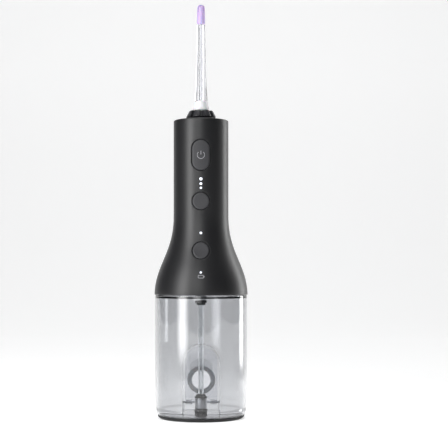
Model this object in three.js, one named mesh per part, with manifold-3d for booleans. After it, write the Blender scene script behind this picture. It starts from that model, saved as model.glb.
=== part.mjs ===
import * as THREE from 'three';
import { mergeVertices } from 'three/addons/utils/BufferGeometryUtils.js';
import Module from 'manifold-3d';

// Cordless water flosser: a bottle-shaped handle with motor, pump and battery, a nozzle in a
// fluted rotation knob, and a clear bayonet tank with a suction hose and a fill door.
// Millimetres, +Z up, front at -Y, origin at the centre of the foot's underside.

const wasm = await Module();
wasm.setup();

const ROUND = 40;
const MEDIUM = 24;
const SMALL = 16;
const TINY = 8;
const GAP = 0.3;

// Tank and foot
const FOOT_INNER = 27;
const FOOT_TOP = 2.4;
const TANK_RADIUS = 33.5;
const TANK_WALL = 2.2;
const TANK_RIM = 89.4;
const TANK_FLOOR = 2.3;
const NECK_OUTER = 30.4;
const NECK_INNER = 28.4;
const NECK_TOP = 96;
const LUG_ANGLES = [30, 150, 270];
const LUG_HALF_ANGLE = 12;
const LUG_LOW = 92.5;

// Fill door in the tank's back wall
const POCKET_HALF = 12.6;
const POCKET_LOW = 3.7;
const POCKET_FACE = 27;
const POCKET_WALL = 1.9;
const ARCH_CENTRE = 38;
const DOOR_HALF = 12.2;
const DOOR_LOW = 7.6;
const DOOR_OUTER = 33.4;
const DOOR_INNER = 31.4;
const DOOR_AXIS_Y = 28.7;
const DOOR_AXIS_Z = 8.8;
const PORT_HEIGHT = 25.2;
const PORT_RADIUS = 7;

// Suction line
const HOSE_Y = -16;
const HOSE_TOP = 85;
const HOSE_RADIUS = 1.9;
const HOSE_BORE = 1.0;
const FILTER_LOW = 2.7;
const FILTER_TOP = 8.4;
const STEEL_LOW = 8.7;
const STEEL_TOP = 16;
const CAP_LOW = 16.3;
const CAP_TOP = 18.9;

// Housing
const SKIRT_LOW = 89.7;
const SKIRT_RADIUS = 34;
const GRIP_RADIUS = 20;
const GRIP_LOW = 147;
const HOUSING_TOP = 216.5;
const HOUSING_WALL = 1.8;
const SKIRT_BORE = 31.9;
const DECK_LOW = 97.9;
const DECK_TOP = 100.8;
const DECK_RADIUS = 30.2;
const DECK_SCREW_RADIUS = 25.5;
const DECK_SCREW_ANGLES = [60, 180, 300];

// Controls on the front
const POWER_HEIGHT = 189.8;
const POWER_SIZE = [12.9, 22];
const INTENSITY_HEIGHT = 156.9;
const INTENSITY_RADIUS = 6.15;
const MODE_HEIGHT = 121.5;
const MODE_RADIUS = 6;
const LIGHT_POSTS = [[172.7, 1.2], [169.3, 1.0], [166.3, 0.85]];
const MODE_LIGHT = [134.1, 0.95];
const BATTERY_LIGHT = [105.9, 0.75];
const PLUNGER_END = -14.6;
const LIGHT_END = -11.6;
const BUTTON_PROUD = 0.25;

// Electronics
const BOARD_BACK = -9.4;
const BOARD_FRONT = -10.6;
const BOARD_LOW = 119.2;
const BOARD_TOP = 200.5;
const MEMBRANE_BACK = -12.8;
const MEMBRANE_FRONT = -13.5;
const BATTERY_RADIUS = 7.1;
const BATTERY_LOW = 145.5;
const CHARGE_HEIGHT = 155;
const RELEASE_HEIGHT = 206.6;

// Drive
const GEAR_MODULE = 0.5;
const GEAR_TEETH = 34;
const PINION_TEETH = 10;
const MOTOR_Y = 4;
const GEAR_Y = -7.25;
const GEAR_LOW = 109.5;
const CRANK_RADIUS = 2.2;
const CRANK_PIN = 1.2;
const PUMP_HEIGHT = 107;
const PUMP_BORE = 4;
const HEAD_X = 22.7;

// Nozzle and knob
const SOCKET_LOW = 196.6;
const SOCKET_TOP = 211.7;
const SOCKET_RADIUS = 6.5;
const STEM_RADIUS = 4;
const STEM_LOW = 203;
const KNOB_TOP = 223.7;
const COLLAR_LOW = 224;
const COLLAR_TOP = 230.5;
const SHAFT_TOP = 286.6;
const BEND_START = 285;
const BEND_RADIUS = 24;
const TIP_END = 300.6;

const degrees = THREE.MathUtils.degToRad;

// ---------------------------------------------------------------- shapes

function solid(geometry) {
  const bare = geometry.clone();
  bare.deleteAttribute('normal');
  bare.deleteAttribute('uv');
  const merged = mergeVertices(bare, 1e-4);
  const index = merged.index.array;
  const faces = [];
  for (let i = 0; i < index.length; i += 3) {
    const [a, b, c] = [index[i], index[i + 1], index[i + 2]];
    if (a !== b && b !== c && c !== a) faces.push(a, b, c);
  }
  const made = new wasm.Manifold(new wasm.Mesh({
    numProp: 3,
    vertProperties: new Float32Array(merged.attributes.position.array),
    triVerts: new Uint32Array(volume(merged, faces) < 0 ? faces.reverse() : faces),
  }));
  return made;
}

function volume(geometry, faces) {
  const [a, b, c] = [new THREE.Vector3(), new THREE.Vector3(), new THREE.Vector3()];
  const position = geometry.attributes.position;
  let sum = 0;
  for (let i = 0; i < faces.length; i += 3) {
    a.fromBufferAttribute(position, faces[i]);
    b.fromBufferAttribute(position, faces[i + 1]);
    c.fromBufferAttribute(position, faces[i + 2]);
    sum += a.dot(b.cross(c));
  }
  return sum / 6;
}

function join(first, ...others) {
  return others.reduce((whole, piece) => whole.add(piece), first);
}

function cut(first, ...tools) {
  return tools.reduce((whole, tool) => whole.subtract(tool), first);
}

// A profile of [radius, height] points turned about Z.
function revolve(profile, sides = ROUND) {
  const points = profile.map(([radius, height]) => new THREE.Vector2(radius, height));
  return solid(new THREE.LatheGeometry(points, sides).rotateX(Math.PI / 2));
}

function rod(radius, low, high, sides = SMALL, x = 0, y = 0) {
  const profile = [[0, low], [radius, low], [radius, high], [0, high]];
  return revolve(profile, sides).translate([x, y, 0]);
}

function pipe(outer, inner, low, high, sides = SMALL, x = 0, y = 0) {
  const profile = [[inner, low], [outer, low], [outer, high], [inner, high], [inner, low]];
  return revolve(profile, sides).translate([x, y, 0]);
}

// The same turned piece lying along X, from low to high.
function alongX(piece, y, z) {
  return piece.rotate([0, 90, 0]).translate([0, y, z]);
}

function block(x0, x1, y0, y1, z0, z1) {
  const box = new THREE.BoxGeometry(x1 - x0, y1 - y0, z1 - z0);
  return solid(box.translate((x0 + x1) / 2, (y0 + y1) / 2, (z0 + z1) / 2));
}

function disc(radius) {
  return new THREE.Shape().absarc(0, 0, radius, 0, 2 * Math.PI);
}

function stadium(width, height) {
  const radius = Math.min(width, height) / 2;
  const side = width / 2 - radius;
  const rise = height / 2 - radius;
  const start = width > height ? -Math.PI / 2 : 0;
  const shape = new THREE.Shape();
  shape.absarc(side, rise, radius, start, start + Math.PI);
  shape.absarc(-side, -rise, radius, start + Math.PI, start + 2 * Math.PI);
  return shape;
}

// An upright arch: straight sides from low to centre, then half a circle.
function arch(half, low, centre) {
  const shape = new THREE.Shape();
  shape.moveTo(-half, low);
  shape.lineTo(half, low);
  shape.absarc(0, centre, half, 0, Math.PI);
  return shape;
}

// An outline in X and Z, with its depth between the two places along Y.
function upright(shape, front, back, z = 0, fineness = 5) {
  const settings = { depth: back - front, bevelEnabled: false, curveSegments: fineness };
  const geometry = new THREE.ExtrudeGeometry(shape, settings);
  return solid(geometry.rotateX(Math.PI / 2).translate(0, back, z));
}

function flat(shape, low, high, fineness = 6) {
  const settings = { depth: high - low, bevelEnabled: false, curveSegments: fineness };
  return solid(new THREE.ExtrudeGeometry(shape, settings).translate(0, 0, low));
}

function ringSector(inner, outer, middle, half, low, high) {
  const shape = new THREE.Shape();
  shape.absarc(0, 0, outer, degrees(middle - half), degrees(middle + half));
  shape.absarc(0, 0, inner, degrees(middle + half), degrees(middle - half), true);
  return flat(shape, low, high, 3);
}

function tube(points, outer, inner, steps) {
  const section = disc(outer);
  section.holes.push(new THREE.Path().absarc(0, 0, inner, 0, 2 * Math.PI));
  const path = new THREE.CatmullRomCurve3(points.map((point) => new THREE.Vector3(...point)));
  const settings = { steps, extrudePath: path, curveSegments: 4, bevelEnabled: false };
  return solid(new THREE.ExtrudeGeometry(section, settings));
}

// ---------------------------------------------------------------- materials and nodes

function paint(color, roughness, metalness = 0, opacity = 1) {
  return new THREE.MeshStandardMaterial({
    color, roughness, metalness, opacity, transparent: opacity < 1,
  });
}

const BLACK = paint(0x202023, 0.45);
const GLOSS_BLACK = paint(0x141416, 0.2);
const GREY = paint(0x8d9094, 0.5);
const CLEAR = paint(0xdfe4e8, 0.08, 0, 0.35);
const FROSTED = paint(0xf2f3f4, 0.35);
const LAVENDER = paint(0xc9b6e0, 0.4);
const SILICONE = paint(0xa7abb0, 0.6, 0, 0.7);
const RUBBER = paint(0x2a2a2c, 0.8);
const STEEL = paint(0xc8cbd0, 0.25, 1);
const BRASS = paint(0xc9a24d, 0.35, 1);
const COPPER = paint(0xb5713c, 0.45, 1);
const BOARD_GREEN = paint(0x1f6b45, 0.5);
const LIGHT = paint(0xf4f8ff, 0.3);
const CELL_WRAP = paint(0x2f7fb8, 0.4);
const NYLON = paint(0xe6e2d6, 0.5);

const flosser = new THREE.Group();

function node(name, piece, material) {
  const mesh = piece.getMesh();
  const geometry = new THREE.BufferGeometry();
  geometry.setAttribute('position', new THREE.BufferAttribute(mesh.vertProperties, 3));
  geometry.setIndex(new THREE.BufferAttribute(mesh.triVerts, 1));
  geometry.computeVertexNormals();
  const made = new THREE.Mesh(geometry, material);
  made.name = name;
  flosser.add(made);
}

// ---------------------------------------------------------------- housing

const FLARE = new THREE.CubicBezierCurve(
  new THREE.Vector2(SKIRT_RADIUS, SKIRT_LOW),
  new THREE.Vector2(33.4, 112),
  new THREE.Vector2(GRIP_RADIUS, 120),
  new THREE.Vector2(GRIP_RADIUS, GRIP_LOW),
).getPoints(8).map((point) => [point.x, point.y]);

// Everything inside the housing's outer face, moved out by proud.
function envelope(proud) {
  const side = FLARE.map(([radius, height]) => [radius + proud, height]);
  return revolve([[0, SKIRT_LOW], ...side, [GRIP_RADIUS + proud, HOUSING_TOP], [0, HOUSING_TOP]]);
}

function makeHousing() {
  const inside = FLARE.slice(2).map(([radius, height]) => [radius - HOUSING_WALL, height]);
  const bore = GRIP_RADIUS - HOUSING_WALL;
  let shell = revolve([
    ...FLARE,
    [GRIP_RADIUS, HOUSING_TOP - 1],
    [GRIP_RADIUS - 0.3, HOUSING_TOP - 0.3],
    [GRIP_RADIUS - 1, HOUSING_TOP],
    [bore, HOUSING_TOP],
    [bore, 213.7],
    [bore - 1.2, 213.7],
    [bore - 1.2, 212.2],
    [bore, 211],
    ...inside.reverse(),
    [SKIRT_BORE, 95.5],
    [SKIRT_BORE, SKIRT_LOW],
    [SKIRT_RADIUS, SKIRT_LOW],
  ]);
  for (const angle of LUG_ANGLES) {
    const ledge = ringSector(NECK_OUTER + 0.4, 32.5, angle, LUG_HALF_ANGLE + 2, 90.2, LUG_LOW - GAP);
    const stop = ringSector(NECK_OUTER + 0.6, 32.5, angle - 14.5, 1.5, 90.2, 95);
    shell = join(shell, ledge, stop);
  }
  for (const angle of DECK_SCREW_ANGLES) {
    const x = DECK_SCREW_RADIUS * Math.cos(degrees(angle));
    const y = DECK_SCREW_RADIUS * Math.sin(degrees(angle));
    const boss = rod(2.6, DECK_TOP + GAP, 115, TINY, x, y).intersect(envelope(-0.6));
    shell = join(shell, boss);
    shell = cut(shell, rod(1.3, DECK_TOP, 109, TINY, x, y));
  }
  const front = [
    upright(stadium(POWER_SIZE[0] + 0.6, POWER_SIZE[1] + 0.6), -25, -14, POWER_HEIGHT, 6),
    upright(disc(INTENSITY_RADIUS + GAP), -25, -14, INTENSITY_HEIGHT, 6),
    upright(disc(MODE_RADIUS + GAP), -30, -16, MODE_HEIGHT, 6),
  ];
  for (const [height, radius] of [...LIGHT_POSTS, MODE_LIGHT, BATTERY_LIGHT]) {
    front.push(upright(disc(radius + GAP), -36, -14, height, 4));
  }
  const outsideWall = pipe(30, 19, 145, 165, ROUND);
  const recess = upright(stadium(14.6, 8.6), 14, 25, CHARGE_HEIGHT).intersect(outsideWall);
  const notch = block(-3.1, 3.1, 14, 25, 149.6, 151.5).intersect(pipe(30, 18.7, 145, 165, ROUND));
  const plugHole = upright(stadium(9.8, 4), 12, 25, CHARGE_HEIGHT);
  const releaseHole = upright(stadium(12, 7), 12, 25, RELEASE_HEIGHT);
  return cut(shell, ...front, recess, notch, plugHole, releaseHole);
}

node('handle_housing', makeHousing(), BLACK);
node('top_cap', revolve([
  [6.4, 214], [17.9, 214], [17.9, 216.3], [12, 217.4], [6.4, 217.8], [6.4, 214],
], MEDIUM), BLACK);

// ---------------------------------------------------------------- buttons and lights

function makeButton(shape, flange, height, flangeFront) {
  const face = upright(shape, -36, flangeFront + 0.6, height, 6).intersect(envelope(BUTTON_PROUD));
  const lip = upright(flange, flangeFront, flangeFront + 1.2, height, 6);
  const plunger = upright(disc(2.5), flangeFront + 0.6, PLUNGER_END, height, 4);
  return join(face, lip, plunger);
}

const powerFlange = stadium(POWER_SIZE[0] + 2, POWER_SIZE[1] + 2);
node('power_button', makeButton(stadium(...POWER_SIZE), powerFlange, POWER_HEIGHT, -16.1), BLACK);
node('intensity_button', makeButton(disc(INTENSITY_RADIUS), disc(7.2), INTENSITY_HEIGHT, -16.1), BLACK);
node('mode_button', makeButton(disc(MODE_RADIUS), disc(7), MODE_HEIGHT, -19.8), BLACK);

function makeLight([height, radius], back, lipFront) {
  const post = upright(disc(radius), -36, back, height, 4).intersect(envelope(0.1));
  return join(post, upright(disc(radius + 0.85), lipFront, lipFront + 0.9, height, 4));
}

function makeIntensityLights() {
  const posts = LIGHT_POSTS.map(([height, radius]) => (
    upright(disc(radius), -36, LIGHT_END, height, 4).intersect(envelope(0.1))
  ));
  return join(block(-2.2, 2.2, -17.4, -16.4, 164, 175), ...posts);
}

node('intensity_lights', makeIntensityLights(), LIGHT);
node('mode_light', makeLight(MODE_LIGHT, LIGHT_END, -18.6), LIGHT);
node('battery_light', makeLight(BATTERY_LIGHT, -25.9, -28.2), LIGHT);
node('battery_light_board', block(-4, 4, -25.6, -24.5, 102.5, 109.5), BOARD_GREEN);

// ---------------------------------------------------------------- electronics

function makeBoard() {
  const plate = block(-9, 9, BOARD_FRONT, BOARD_BACK, BOARD_LOW, BOARD_TOP);
  const chip = block(-4, 4, -11.5, BOARD_FRONT + 0.2, 139, 147);
  const connector = block(4.5, 8.5, -12.3, BOARD_FRONT + 0.2, 177, 184);
  const coil = block(-8, -3, -12.2, BOARD_FRONT + 0.2, 126, 131);
  return join(plate, chip, connector, coil);
}

function makeMembrane() {
  const sheet = block(-7.5, 7.5, MEMBRANE_FRONT, MEMBRANE_BACK, BOARD_LOW, BOARD_TOP);
  const slot = upright(stadium(3.6, 10.6), -15, -12, 169.6);
  return cut(sheet, slot, upright(disc(1.5), -15, -12, MODE_LIGHT[0], 4));
}

function makeSwitch(height) {
  const body = block(-2.25, 2.25, -11.9, BOARD_FRONT - GAP, height - 2.25, height + 2.25);
  return join(body, upright(disc(1.2), MEMBRANE_BACK + GAP, -11.5, height, 4));
}

node('circuit_board', makeBoard(), BOARD_GREEN);
node('keypad_membrane', makeMembrane(), RUBBER);
node('power_switch', makeSwitch(POWER_HEIGHT), STEEL);
node('intensity_switch', makeSwitch(INTENSITY_HEIGHT), STEEL);
node('mode_switch', makeSwitch(MODE_HEIGHT), STEEL);
node('battery_cell', join(
  rod(BATTERY_RADIUS, BATTERY_LOW, BATTERY_LOW + 49, SMALL, 0, -0.3),
  rod(2.8, BATTERY_LOW + 48, BATTERY_LOW + 50, TINY, 0, -0.3),
), CELL_WRAP);

function makeChargingSocket() {
  const shell = upright(stadium(9, 3.3), 9.5, 17.2, CHARGE_HEIGHT);
  const hollow = upright(stadium(8.3, 2.6), 10.3, 18, CHARGE_HEIGHT);
  const tongue = block(-3.2, 3.2, 9.9, 16.2, CHARGE_HEIGHT - 0.35, CHARGE_HEIGHT + 0.35);
  return join(cut(shell, hollow), tongue);
}

function makePortCover() {
  const skin = pipe(GRIP_RADIUS, 19.3, 145, 165, ROUND);
  const lid = upright(stadium(14, 8), 14, 25, CHARGE_HEIGHT).intersect(skin);
  const tab = block(-2.6, 2.6, 14, 25, 150.1, 151.7).intersect(skin);
  const plug = upright(stadium(7.4, 1.9), 17.6, 19.5, CHARGE_HEIGHT);
  return join(lid, tab, plug);
}

node('charging_socket', makeChargingSocket(), STEEL);
node('charging_board', block(-7, 7, 8, 9.2, 148, 162), BOARD_GREEN);
node('charging_port_cover', makePortCover(), RUBBER);

// ---------------------------------------------------------------- chassis and drive

function makeChassis() {
  const plate = block(-10, 10, -9.1, -7.7, BOARD_LOW, 203);
  const lowShelf = rod(17.6, 142.9, 145.2, SMALL).intersect(block(-20, 20, -9.1, 20, 140, 150));
  const topShelf = rod(17.6, 201, 203, SMALL).intersect(block(-20, 20, -12, 12.7, 200, 204));
  const springWall = block(-4, 4, 9, 10.1, 202, 210);
  return cut(
    join(plate, lowShelf, topShelf, springWall),
    rod(2.3, 140, 150, TINY, 12.5, 8),
    rod(SOCKET_RADIUS + GAP, 200, 204, SMALL),
    upright(disc(1.5), 8, 11, RELEASE_HEIGHT, 4),
  );
}

function makeGearFrame() {
  const legs = [[12, 13], [-12, 13], [-12, -11.5]].map(([x, y]) => rod(2, DECK_TOP + GAP, 115, TINY, x, y));
  return cut(
    join(block(-14, 14, -13, 15.5, 114.5, 117.4), ...legs),
    rod(3.2, 110, 120, TINY, 0, MOTOR_Y),
    rod(1.7, 110, 120, TINY, 0, GEAR_Y),
    rod(2.7, 116.2, 120, TINY, 0, GEAR_Y),
    rod(1.3, 110, 120, TINY, 6, MOTOR_Y),
    rod(1.3, 110, 120, TINY, -6, MOTOR_Y),
  );
}

node('chassis', makeChassis(), GREY);
node('gear_frame', makeGearFrame(), NYLON);
node('motor_can', cut(
  rod(10, 117.7, 139.7, SMALL, 0, MOTOR_Y),
  rod(9.1, 118.9, 140, SMALL, 0, MOTOR_Y),
  rod(1.6, 117, 120, TINY, 0, MOTOR_Y),
  rod(1.3, 117, 120, TINY, 6, MOTOR_Y),
  rod(1.3, 117, 120, TINY, -6, MOTOR_Y),
), STEEL);
node('motor_end_cap', rod(9.6, 140, 142.6, SMALL, 0, MOTOR_Y), NYLON);
node('motor_armature', join(
  rod(1, 108.8, 139.2, TINY, 0, MOTOR_Y),
  rod(7.6, 121.5, 137, SMALL, 0, MOTOR_Y),
), COPPER);

for (const side of [-1, 1]) {
  const screw = join(
    rod(2, 112.9, 114.2, TINY, 6 * side, MOTOR_Y),
    rod(1, 114, 118.8, TINY, 6 * side, MOTOR_Y),
  );
  node(side < 0 ? 'motor_screw_left' : 'motor_screw_right', screw, STEEL);
}

function gear(teeth, low, high) {
  const pitch = (teeth * GEAR_MODULE) / 2;
  const corners = [[pitch - 0.6, -0.44], [pitch + 0.4, -0.16], [pitch + 0.4, 0.16], [pitch - 0.6, 0.44]];
  const shape = new THREE.Shape();
  for (let tooth = 0; tooth < teeth; tooth += 1) {
    for (const [radius, offset] of corners) {
      const angle = (2 * Math.PI * tooth) / teeth + offset / pitch;
      const point = [radius * Math.sin(angle), radius * Math.cos(angle)];
      if (tooth === 0 && offset === corners[0][1]) shape.moveTo(...point);
      else shape.lineTo(...point);
    }
  }
  return flat(shape, low, high);
}

function makeDriveGear() {
  const wheel = gear(GEAR_TEETH, GEAR_LOW, GEAR_LOW + 3).rotate([0, 0, 180 / GEAR_TEETH]);
  const hub = rod(3.2, GEAR_LOW + 2, GEAR_LOW + 4.4, TINY);
  const pin = rod(CRANK_PIN, 105, GEAR_LOW + 1, TINY, 0, -CRANK_RADIUS);
  return cut(join(wheel, hub, pin), rod(1.7, GEAR_LOW + 1.2, GEAR_LOW + 5, TINY)).translate([0, GEAR_Y, 0]);
}

node('drive_gear', makeDriveGear(), NYLON);
node('gear_axle', join(
  rod(1.4, GEAR_LOW + 1.5, 117, TINY, 0, GEAR_Y),
  rod(2.4, 116.5, 117.4, TINY, 0, GEAR_Y),
), STEEL);
node('motor_pinion', cut(
  gear(PINION_TEETH, GEAR_LOW, GEAR_LOW + 4).rotate([0, 0, 180]),
  rod(1.3, GEAR_LOW - 1, GEAR_LOW + 5, TINY),
).translate([0, MOTOR_Y, 0]), BRASS);

// ---------------------------------------------------------------- pump

function makePiston() {
  const frame = block(-7.4, 7.4, GEAR_Y - 5.2, GEAR_Y + 5.2, 105.3, 108.7);
  const window = block(-5.75, 5.75, GEAR_Y - 3.6, GEAR_Y + 3.6, 104, 110);
  const stroke = revolve([
    [0, 6.8], [1.6, 6.8], [1.6, 13.5], [3.5, 13.5], [3.5, 14.8], [2.7, 14.8],
    [2.7, 16.2], [3.5, 16.2], [3.5, 17.5], [0, 17.5],
  ], SMALL);
  return join(cut(frame, window), alongX(stroke, GEAR_Y, PUMP_HEIGHT));
}

function makePumpHead() {
  return cut(
    block(20.8, 24.6, -11, -3.5, 102.2, 110.2),
    rod(1.7, 103, 111, TINY, HEAD_X, GEAR_Y),
    alongX(rod(1.4, 20, HEAD_X, TINY), GEAR_Y, PUMP_HEIGHT),
    upright(disc(1.1), -12, GEAR_Y, 103.9, 4).translate([HEAD_X, 0, 0]),
  );
}

node('piston', makePiston(), NYLON);
node('piston_seal', alongX(pipe(3.7, 3, 15.1, 15.9, SMALL), GEAR_Y, PUMP_HEIGHT), RUBBER);
node('pump_body', cut(
  join(
    alongX(rod(5.2, 10.5, 20.5, SMALL), GEAR_Y, PUMP_HEIGHT),
    block(11.5, 19.5, GEAR_Y - 3, GEAR_Y + 3, DECK_TOP + GAP, 103.5),
  ),
  alongX(rod(PUMP_BORE, 10, 21, SMALL), GEAR_Y, PUMP_HEIGHT),
), NYLON);
node('pump_head', makePumpHead(), GREY);
node('inlet_valve', rod(1.4, 105.1, 105.8, TINY, HEAD_X, GEAR_Y), RUBBER);
node('outlet_valve', rod(1.4, 108.8, 109.5, TINY, HEAD_X, GEAR_Y), RUBBER);
node('inlet_tube', tube([
  [4.3, HOSE_Y, 102.9], [10, -16.3, 102.9], [17, -17.6, 103.1], [21.4, -16.4, 103.7],
  [HEAD_X, -13.6, 103.9], [HEAD_X, -11.4, 103.9],
], 1.5, 0.8, 9), SILICONE);
node('pressure_tube', tube([
  [HEAD_X, GEAR_Y, 110.6], [HEAD_X, GEAR_Y, 112.2], [21.3, -5, 115.8], [18.4, 0, 119.5],
  [15.4, 5, 127], [13, 7.8, 136], [12.5, 8, 146], [12.5, 8, 168], [12.5, 8, 190], [11.6, 7.4, 196.4], [8.8, 5.6, 198.4],
  [5.9, 3.8, 198.6],
], 1.8, 1, 22), SILICONE);

// ---------------------------------------------------------------- nozzle socket and release

function makeSocket() {
  const body = revolve([
    [0, SOCKET_LOW], [SOCKET_RADIUS, SOCKET_LOW], [SOCKET_RADIUS, 203.3], [8.5, 203.3],
    [8.5, 204.6], [SOCKET_RADIUS, 204.6], [SOCKET_RADIUS, SOCKET_TOP], [0, SOCKET_TOP],
  ], SMALL);
  const inlet = alongX(rod(1.2, 0, 8, TINY), 0, 198.6).rotate([0, 0, 32.8]);
  return cut(
    body,
    rod(STEM_RADIUS + GAP, 201.5, 213, SMALL),
    rod(5.4, 206.6, 208.2, SMALL),
    rod(1.2, 198.6, 202, TINY),
    inlet,
  );
}

// A coil of round wire lying along Y.
function makeSpring(radius, wire, start, length, turns) {
  class Helix extends THREE.Curve {
    getPoint(t) {
      const angle = 2 * Math.PI * turns * t;
      const across = radius * Math.cos(angle);
      return new THREE.Vector3(across, start + length * t, radius * Math.sin(angle));
    }
  }
  const settings = { steps: turns * 8, extrudePath: new Helix(), curveSegments: 3, bevelEnabled: false };
  return solid(new THREE.ExtrudeGeometry(disc(wire), settings).translate(0, 0, RELEASE_HEIGHT));
}

function makeReleaseButton() {
  const face = upright(stadium(11.4, 6.4), 15.8, 25, RELEASE_HEIGHT).intersect(envelope(BUTTON_PROUD));
  const lip = upright(stadium(13.4, 8.4), 15.2, 16.4, RELEASE_HEIGHT);
  const plunger = upright(disc(1.1), 9, 15.8, RELEASE_HEIGHT, 4);
  return join(face, lip, plunger);
}

node('nozzle_socket', makeSocket(), GREY);
node('socket_seal', pipe(5.1, 4.2, 206.9, 207.9, SMALL), RUBBER);
node('release_button', makeReleaseButton(), BLACK);
node('release_spring', makeSpring(1.9, 0.22, 10.7, 2, 3), STEEL);

// ---------------------------------------------------------------- knob

function makeKnob() {
  let knob = revolve([
    [STEM_RADIUS + 0.4, SOCKET_TOP + GAP],
    [6, SOCKET_TOP + GAP],
    [6, 212.4],
    [5.3, 212.4],
    [5.3, 213.6],
    [6, 213.6],
    [6, 218.3],
    [9.8, 218.5],
    [10.9, 219.4],
    [10.9, 220.4],
    [8.6, KNOB_TOP - 0.4],
    [7.6, KNOB_TOP],
    [STEM_RADIUS + 0.4, KNOB_TOP],
    [STEM_RADIUS + 0.4, SOCKET_TOP + GAP],
  ], MEDIUM);
  for (let flute = 0; flute < 8; flute += 1) {
    knob = cut(knob, block(9.2, 12, -0.8, 0.8, 217, 225).rotate([0, 0, 45 * flute + 22.5]));
  }
  return knob;
}

node('rotation_knob', makeKnob(), GLOSS_BLACK);
node('knob_clip', pipe(7.8, 5.6, 212.5, 213.5, SMALL), STEEL);

// ---------------------------------------------------------------- nozzle

// Leans everything above BEND_START towards the front along an arc.
function bend(piece) {
  return piece.warp((vertex) => {
    if (vertex[2] > BEND_START) {
      const angle = (vertex[2] - BEND_START) / BEND_RADIUS;
      const reach = BEND_RADIUS + vertex[1];
      vertex[1] = reach * Math.cos(angle) - BEND_RADIUS;
      vertex[2] = BEND_START + reach * Math.sin(angle);
    }
  });
}

node('nozzle_base', revolve([
  [1.5, STEM_LOW], [3.4, STEM_LOW], [STEM_RADIUS, STEM_LOW + 1], [STEM_RADIUS, COLLAR_LOW],
  [6, COLLAR_LOW], [6, 225.4], [5.3, 228], [4.9, COLLAR_TOP], [1.5, COLLAR_TOP], [1.5, STEM_LOW],
], SMALL), FROSTED);
node('nozzle_shaft', bend(revolve([
  [1.2, COLLAR_TOP + GAP], [4.8, COLLAR_TOP + GAP], [4.5, 235], [4.1, 241], [3.75, 249],
  [3.45, 260], [3.2, 274], [3.05, BEND_START], [3.0, SHAFT_TOP], [1.2, SHAFT_TOP],
  [1.2, BEND_START], [1.2, COLLAR_TOP + GAP],
], SMALL)), CLEAR);

function makeTip() {
  const length = TIP_END - SHAFT_TOP;
  const low = SHAFT_TOP + GAP;
  let tip = revolve([
    [1.2, low], [3.05, low], [3.0, low + length * 0.35], [2.9, low + length * 0.75],
    [2.6, TIP_END - 0.8], [1.9, TIP_END], [0.8, TIP_END], [0.8, low + 2], [1.2, low],
  ], SMALL);
  for (const turn of [0, 90]) {
    tip = cut(tip, block(-4, 4, -0.28, 0.28, TIP_END - 4, TIP_END + 1).rotate([0, 0, turn + 45]));
  }
  return bend(tip);
}

node('nozzle_tip', makeTip(), LAVENDER);

// ---------------------------------------------------------------- deck between pump and tank

function makeDeck() {
  let deck = join(
    rod(DECK_RADIUS, DECK_LOW, DECK_TOP, MEDIUM),
    rod(3.9, 86.5, DECK_LOW + 1, SMALL, 0, HOSE_Y),
    rod(4, DECK_TOP - 1, 104.6, SMALL, 0, HOSE_Y),
  );
  for (const angle of DECK_SCREW_ANGLES) {
    const x = DECK_SCREW_RADIUS * Math.cos(degrees(angle));
    const y = DECK_SCREW_RADIUS * Math.sin(degrees(angle));
    deck = cut(deck, rod(1.4, 97, 102, TINY, x, y), rod(2.6, 97, 99.5, TINY, x, y));
  }
  const port = alongX(rod(1.2, 0, 6, TINY), HOSE_Y, 102.9);
  return cut(deck, rod(1.2, 86, 103.5, TINY, 0, HOSE_Y), port);
}

node('pump_deck', makeDeck(), GREY);
node('tank_gasket', pipe(30.6, 28, NECK_TOP + GAP, DECK_LOW - GAP, MEDIUM), RUBBER);
DECK_SCREW_ANGLES.forEach((angle, index) => {
  const x = DECK_SCREW_RADIUS * Math.cos(degrees(angle));
  const y = DECK_SCREW_RADIUS * Math.sin(degrees(angle));
  const screw = join(rod(2.2, DECK_LOW, 99.2, TINY, x, y), rod(1, 99, 107, TINY, x, y));
  node(`deck_screw_${index + 1}`, screw, STEEL);
});

// ---------------------------------------------------------------- suction line

function makeConnector() {
  const cap = cut(rod(3.55, 82.7, 86.2), rod(2.75, 82, 85.5), rod(1.2, 82, 87, TINY));
  const ears = join(block(-5, -2.9, -1.1, 1.1, 83.8, 86), block(2.9, 5, -1.1, 1.1, 83.8, 86));
  return join(cap, ears).translate([0, HOSE_Y, 0]);
}

node('hose_connector', makeConnector(), RUBBER);
node('suction_hose', tube([
  [0, HOSE_Y, HOSE_TOP], [0, HOSE_Y, 62], [0, HOSE_Y, 40], [0, HOSE_Y, CAP_TOP + GAP],
], HOSE_RADIUS, HOSE_BORE, 6), CLEAR);
node('weight_cap', revolve([
  [HOSE_BORE, CAP_LOW], [4.6, CAP_LOW], [4.6, CAP_LOW + 0.6], [2.6, CAP_TOP],
  [HOSE_BORE, CAP_TOP], [HOSE_BORE, CAP_LOW],
], SMALL).translate([0, HOSE_Y, 0]), RUBBER);
node('hose_weight', pipe(4.1, 1.2, STEEL_LOW, STEEL_TOP, SMALL, 0, HOSE_Y), STEEL);

function makeFilter() {
  const basket = revolve([
    [0, FILTER_LOW], [3.8, FILTER_LOW], [4.65, FILTER_TOP], [1.2, FILTER_TOP],
    [1.2, FILTER_TOP - 2], [0, FILTER_TOP - 2],
  ], SMALL);
  const slots = [0, 60, 120].map((turn) => (
    block(-6, 6, -0.45, 0.45, FILTER_LOW - 1, FILTER_LOW + 2.5).rotate([0, 0, turn])
  ));
  return cut(basket, ...slots, rod(1.2, FILTER_LOW + 1, FILTER_TOP, TINY)).translate([0, HOSE_Y, 0]);
}

node('intake_filter', makeFilter(), RUBBER);

// ---------------------------------------------------------------- tank, foot and fill door

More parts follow.
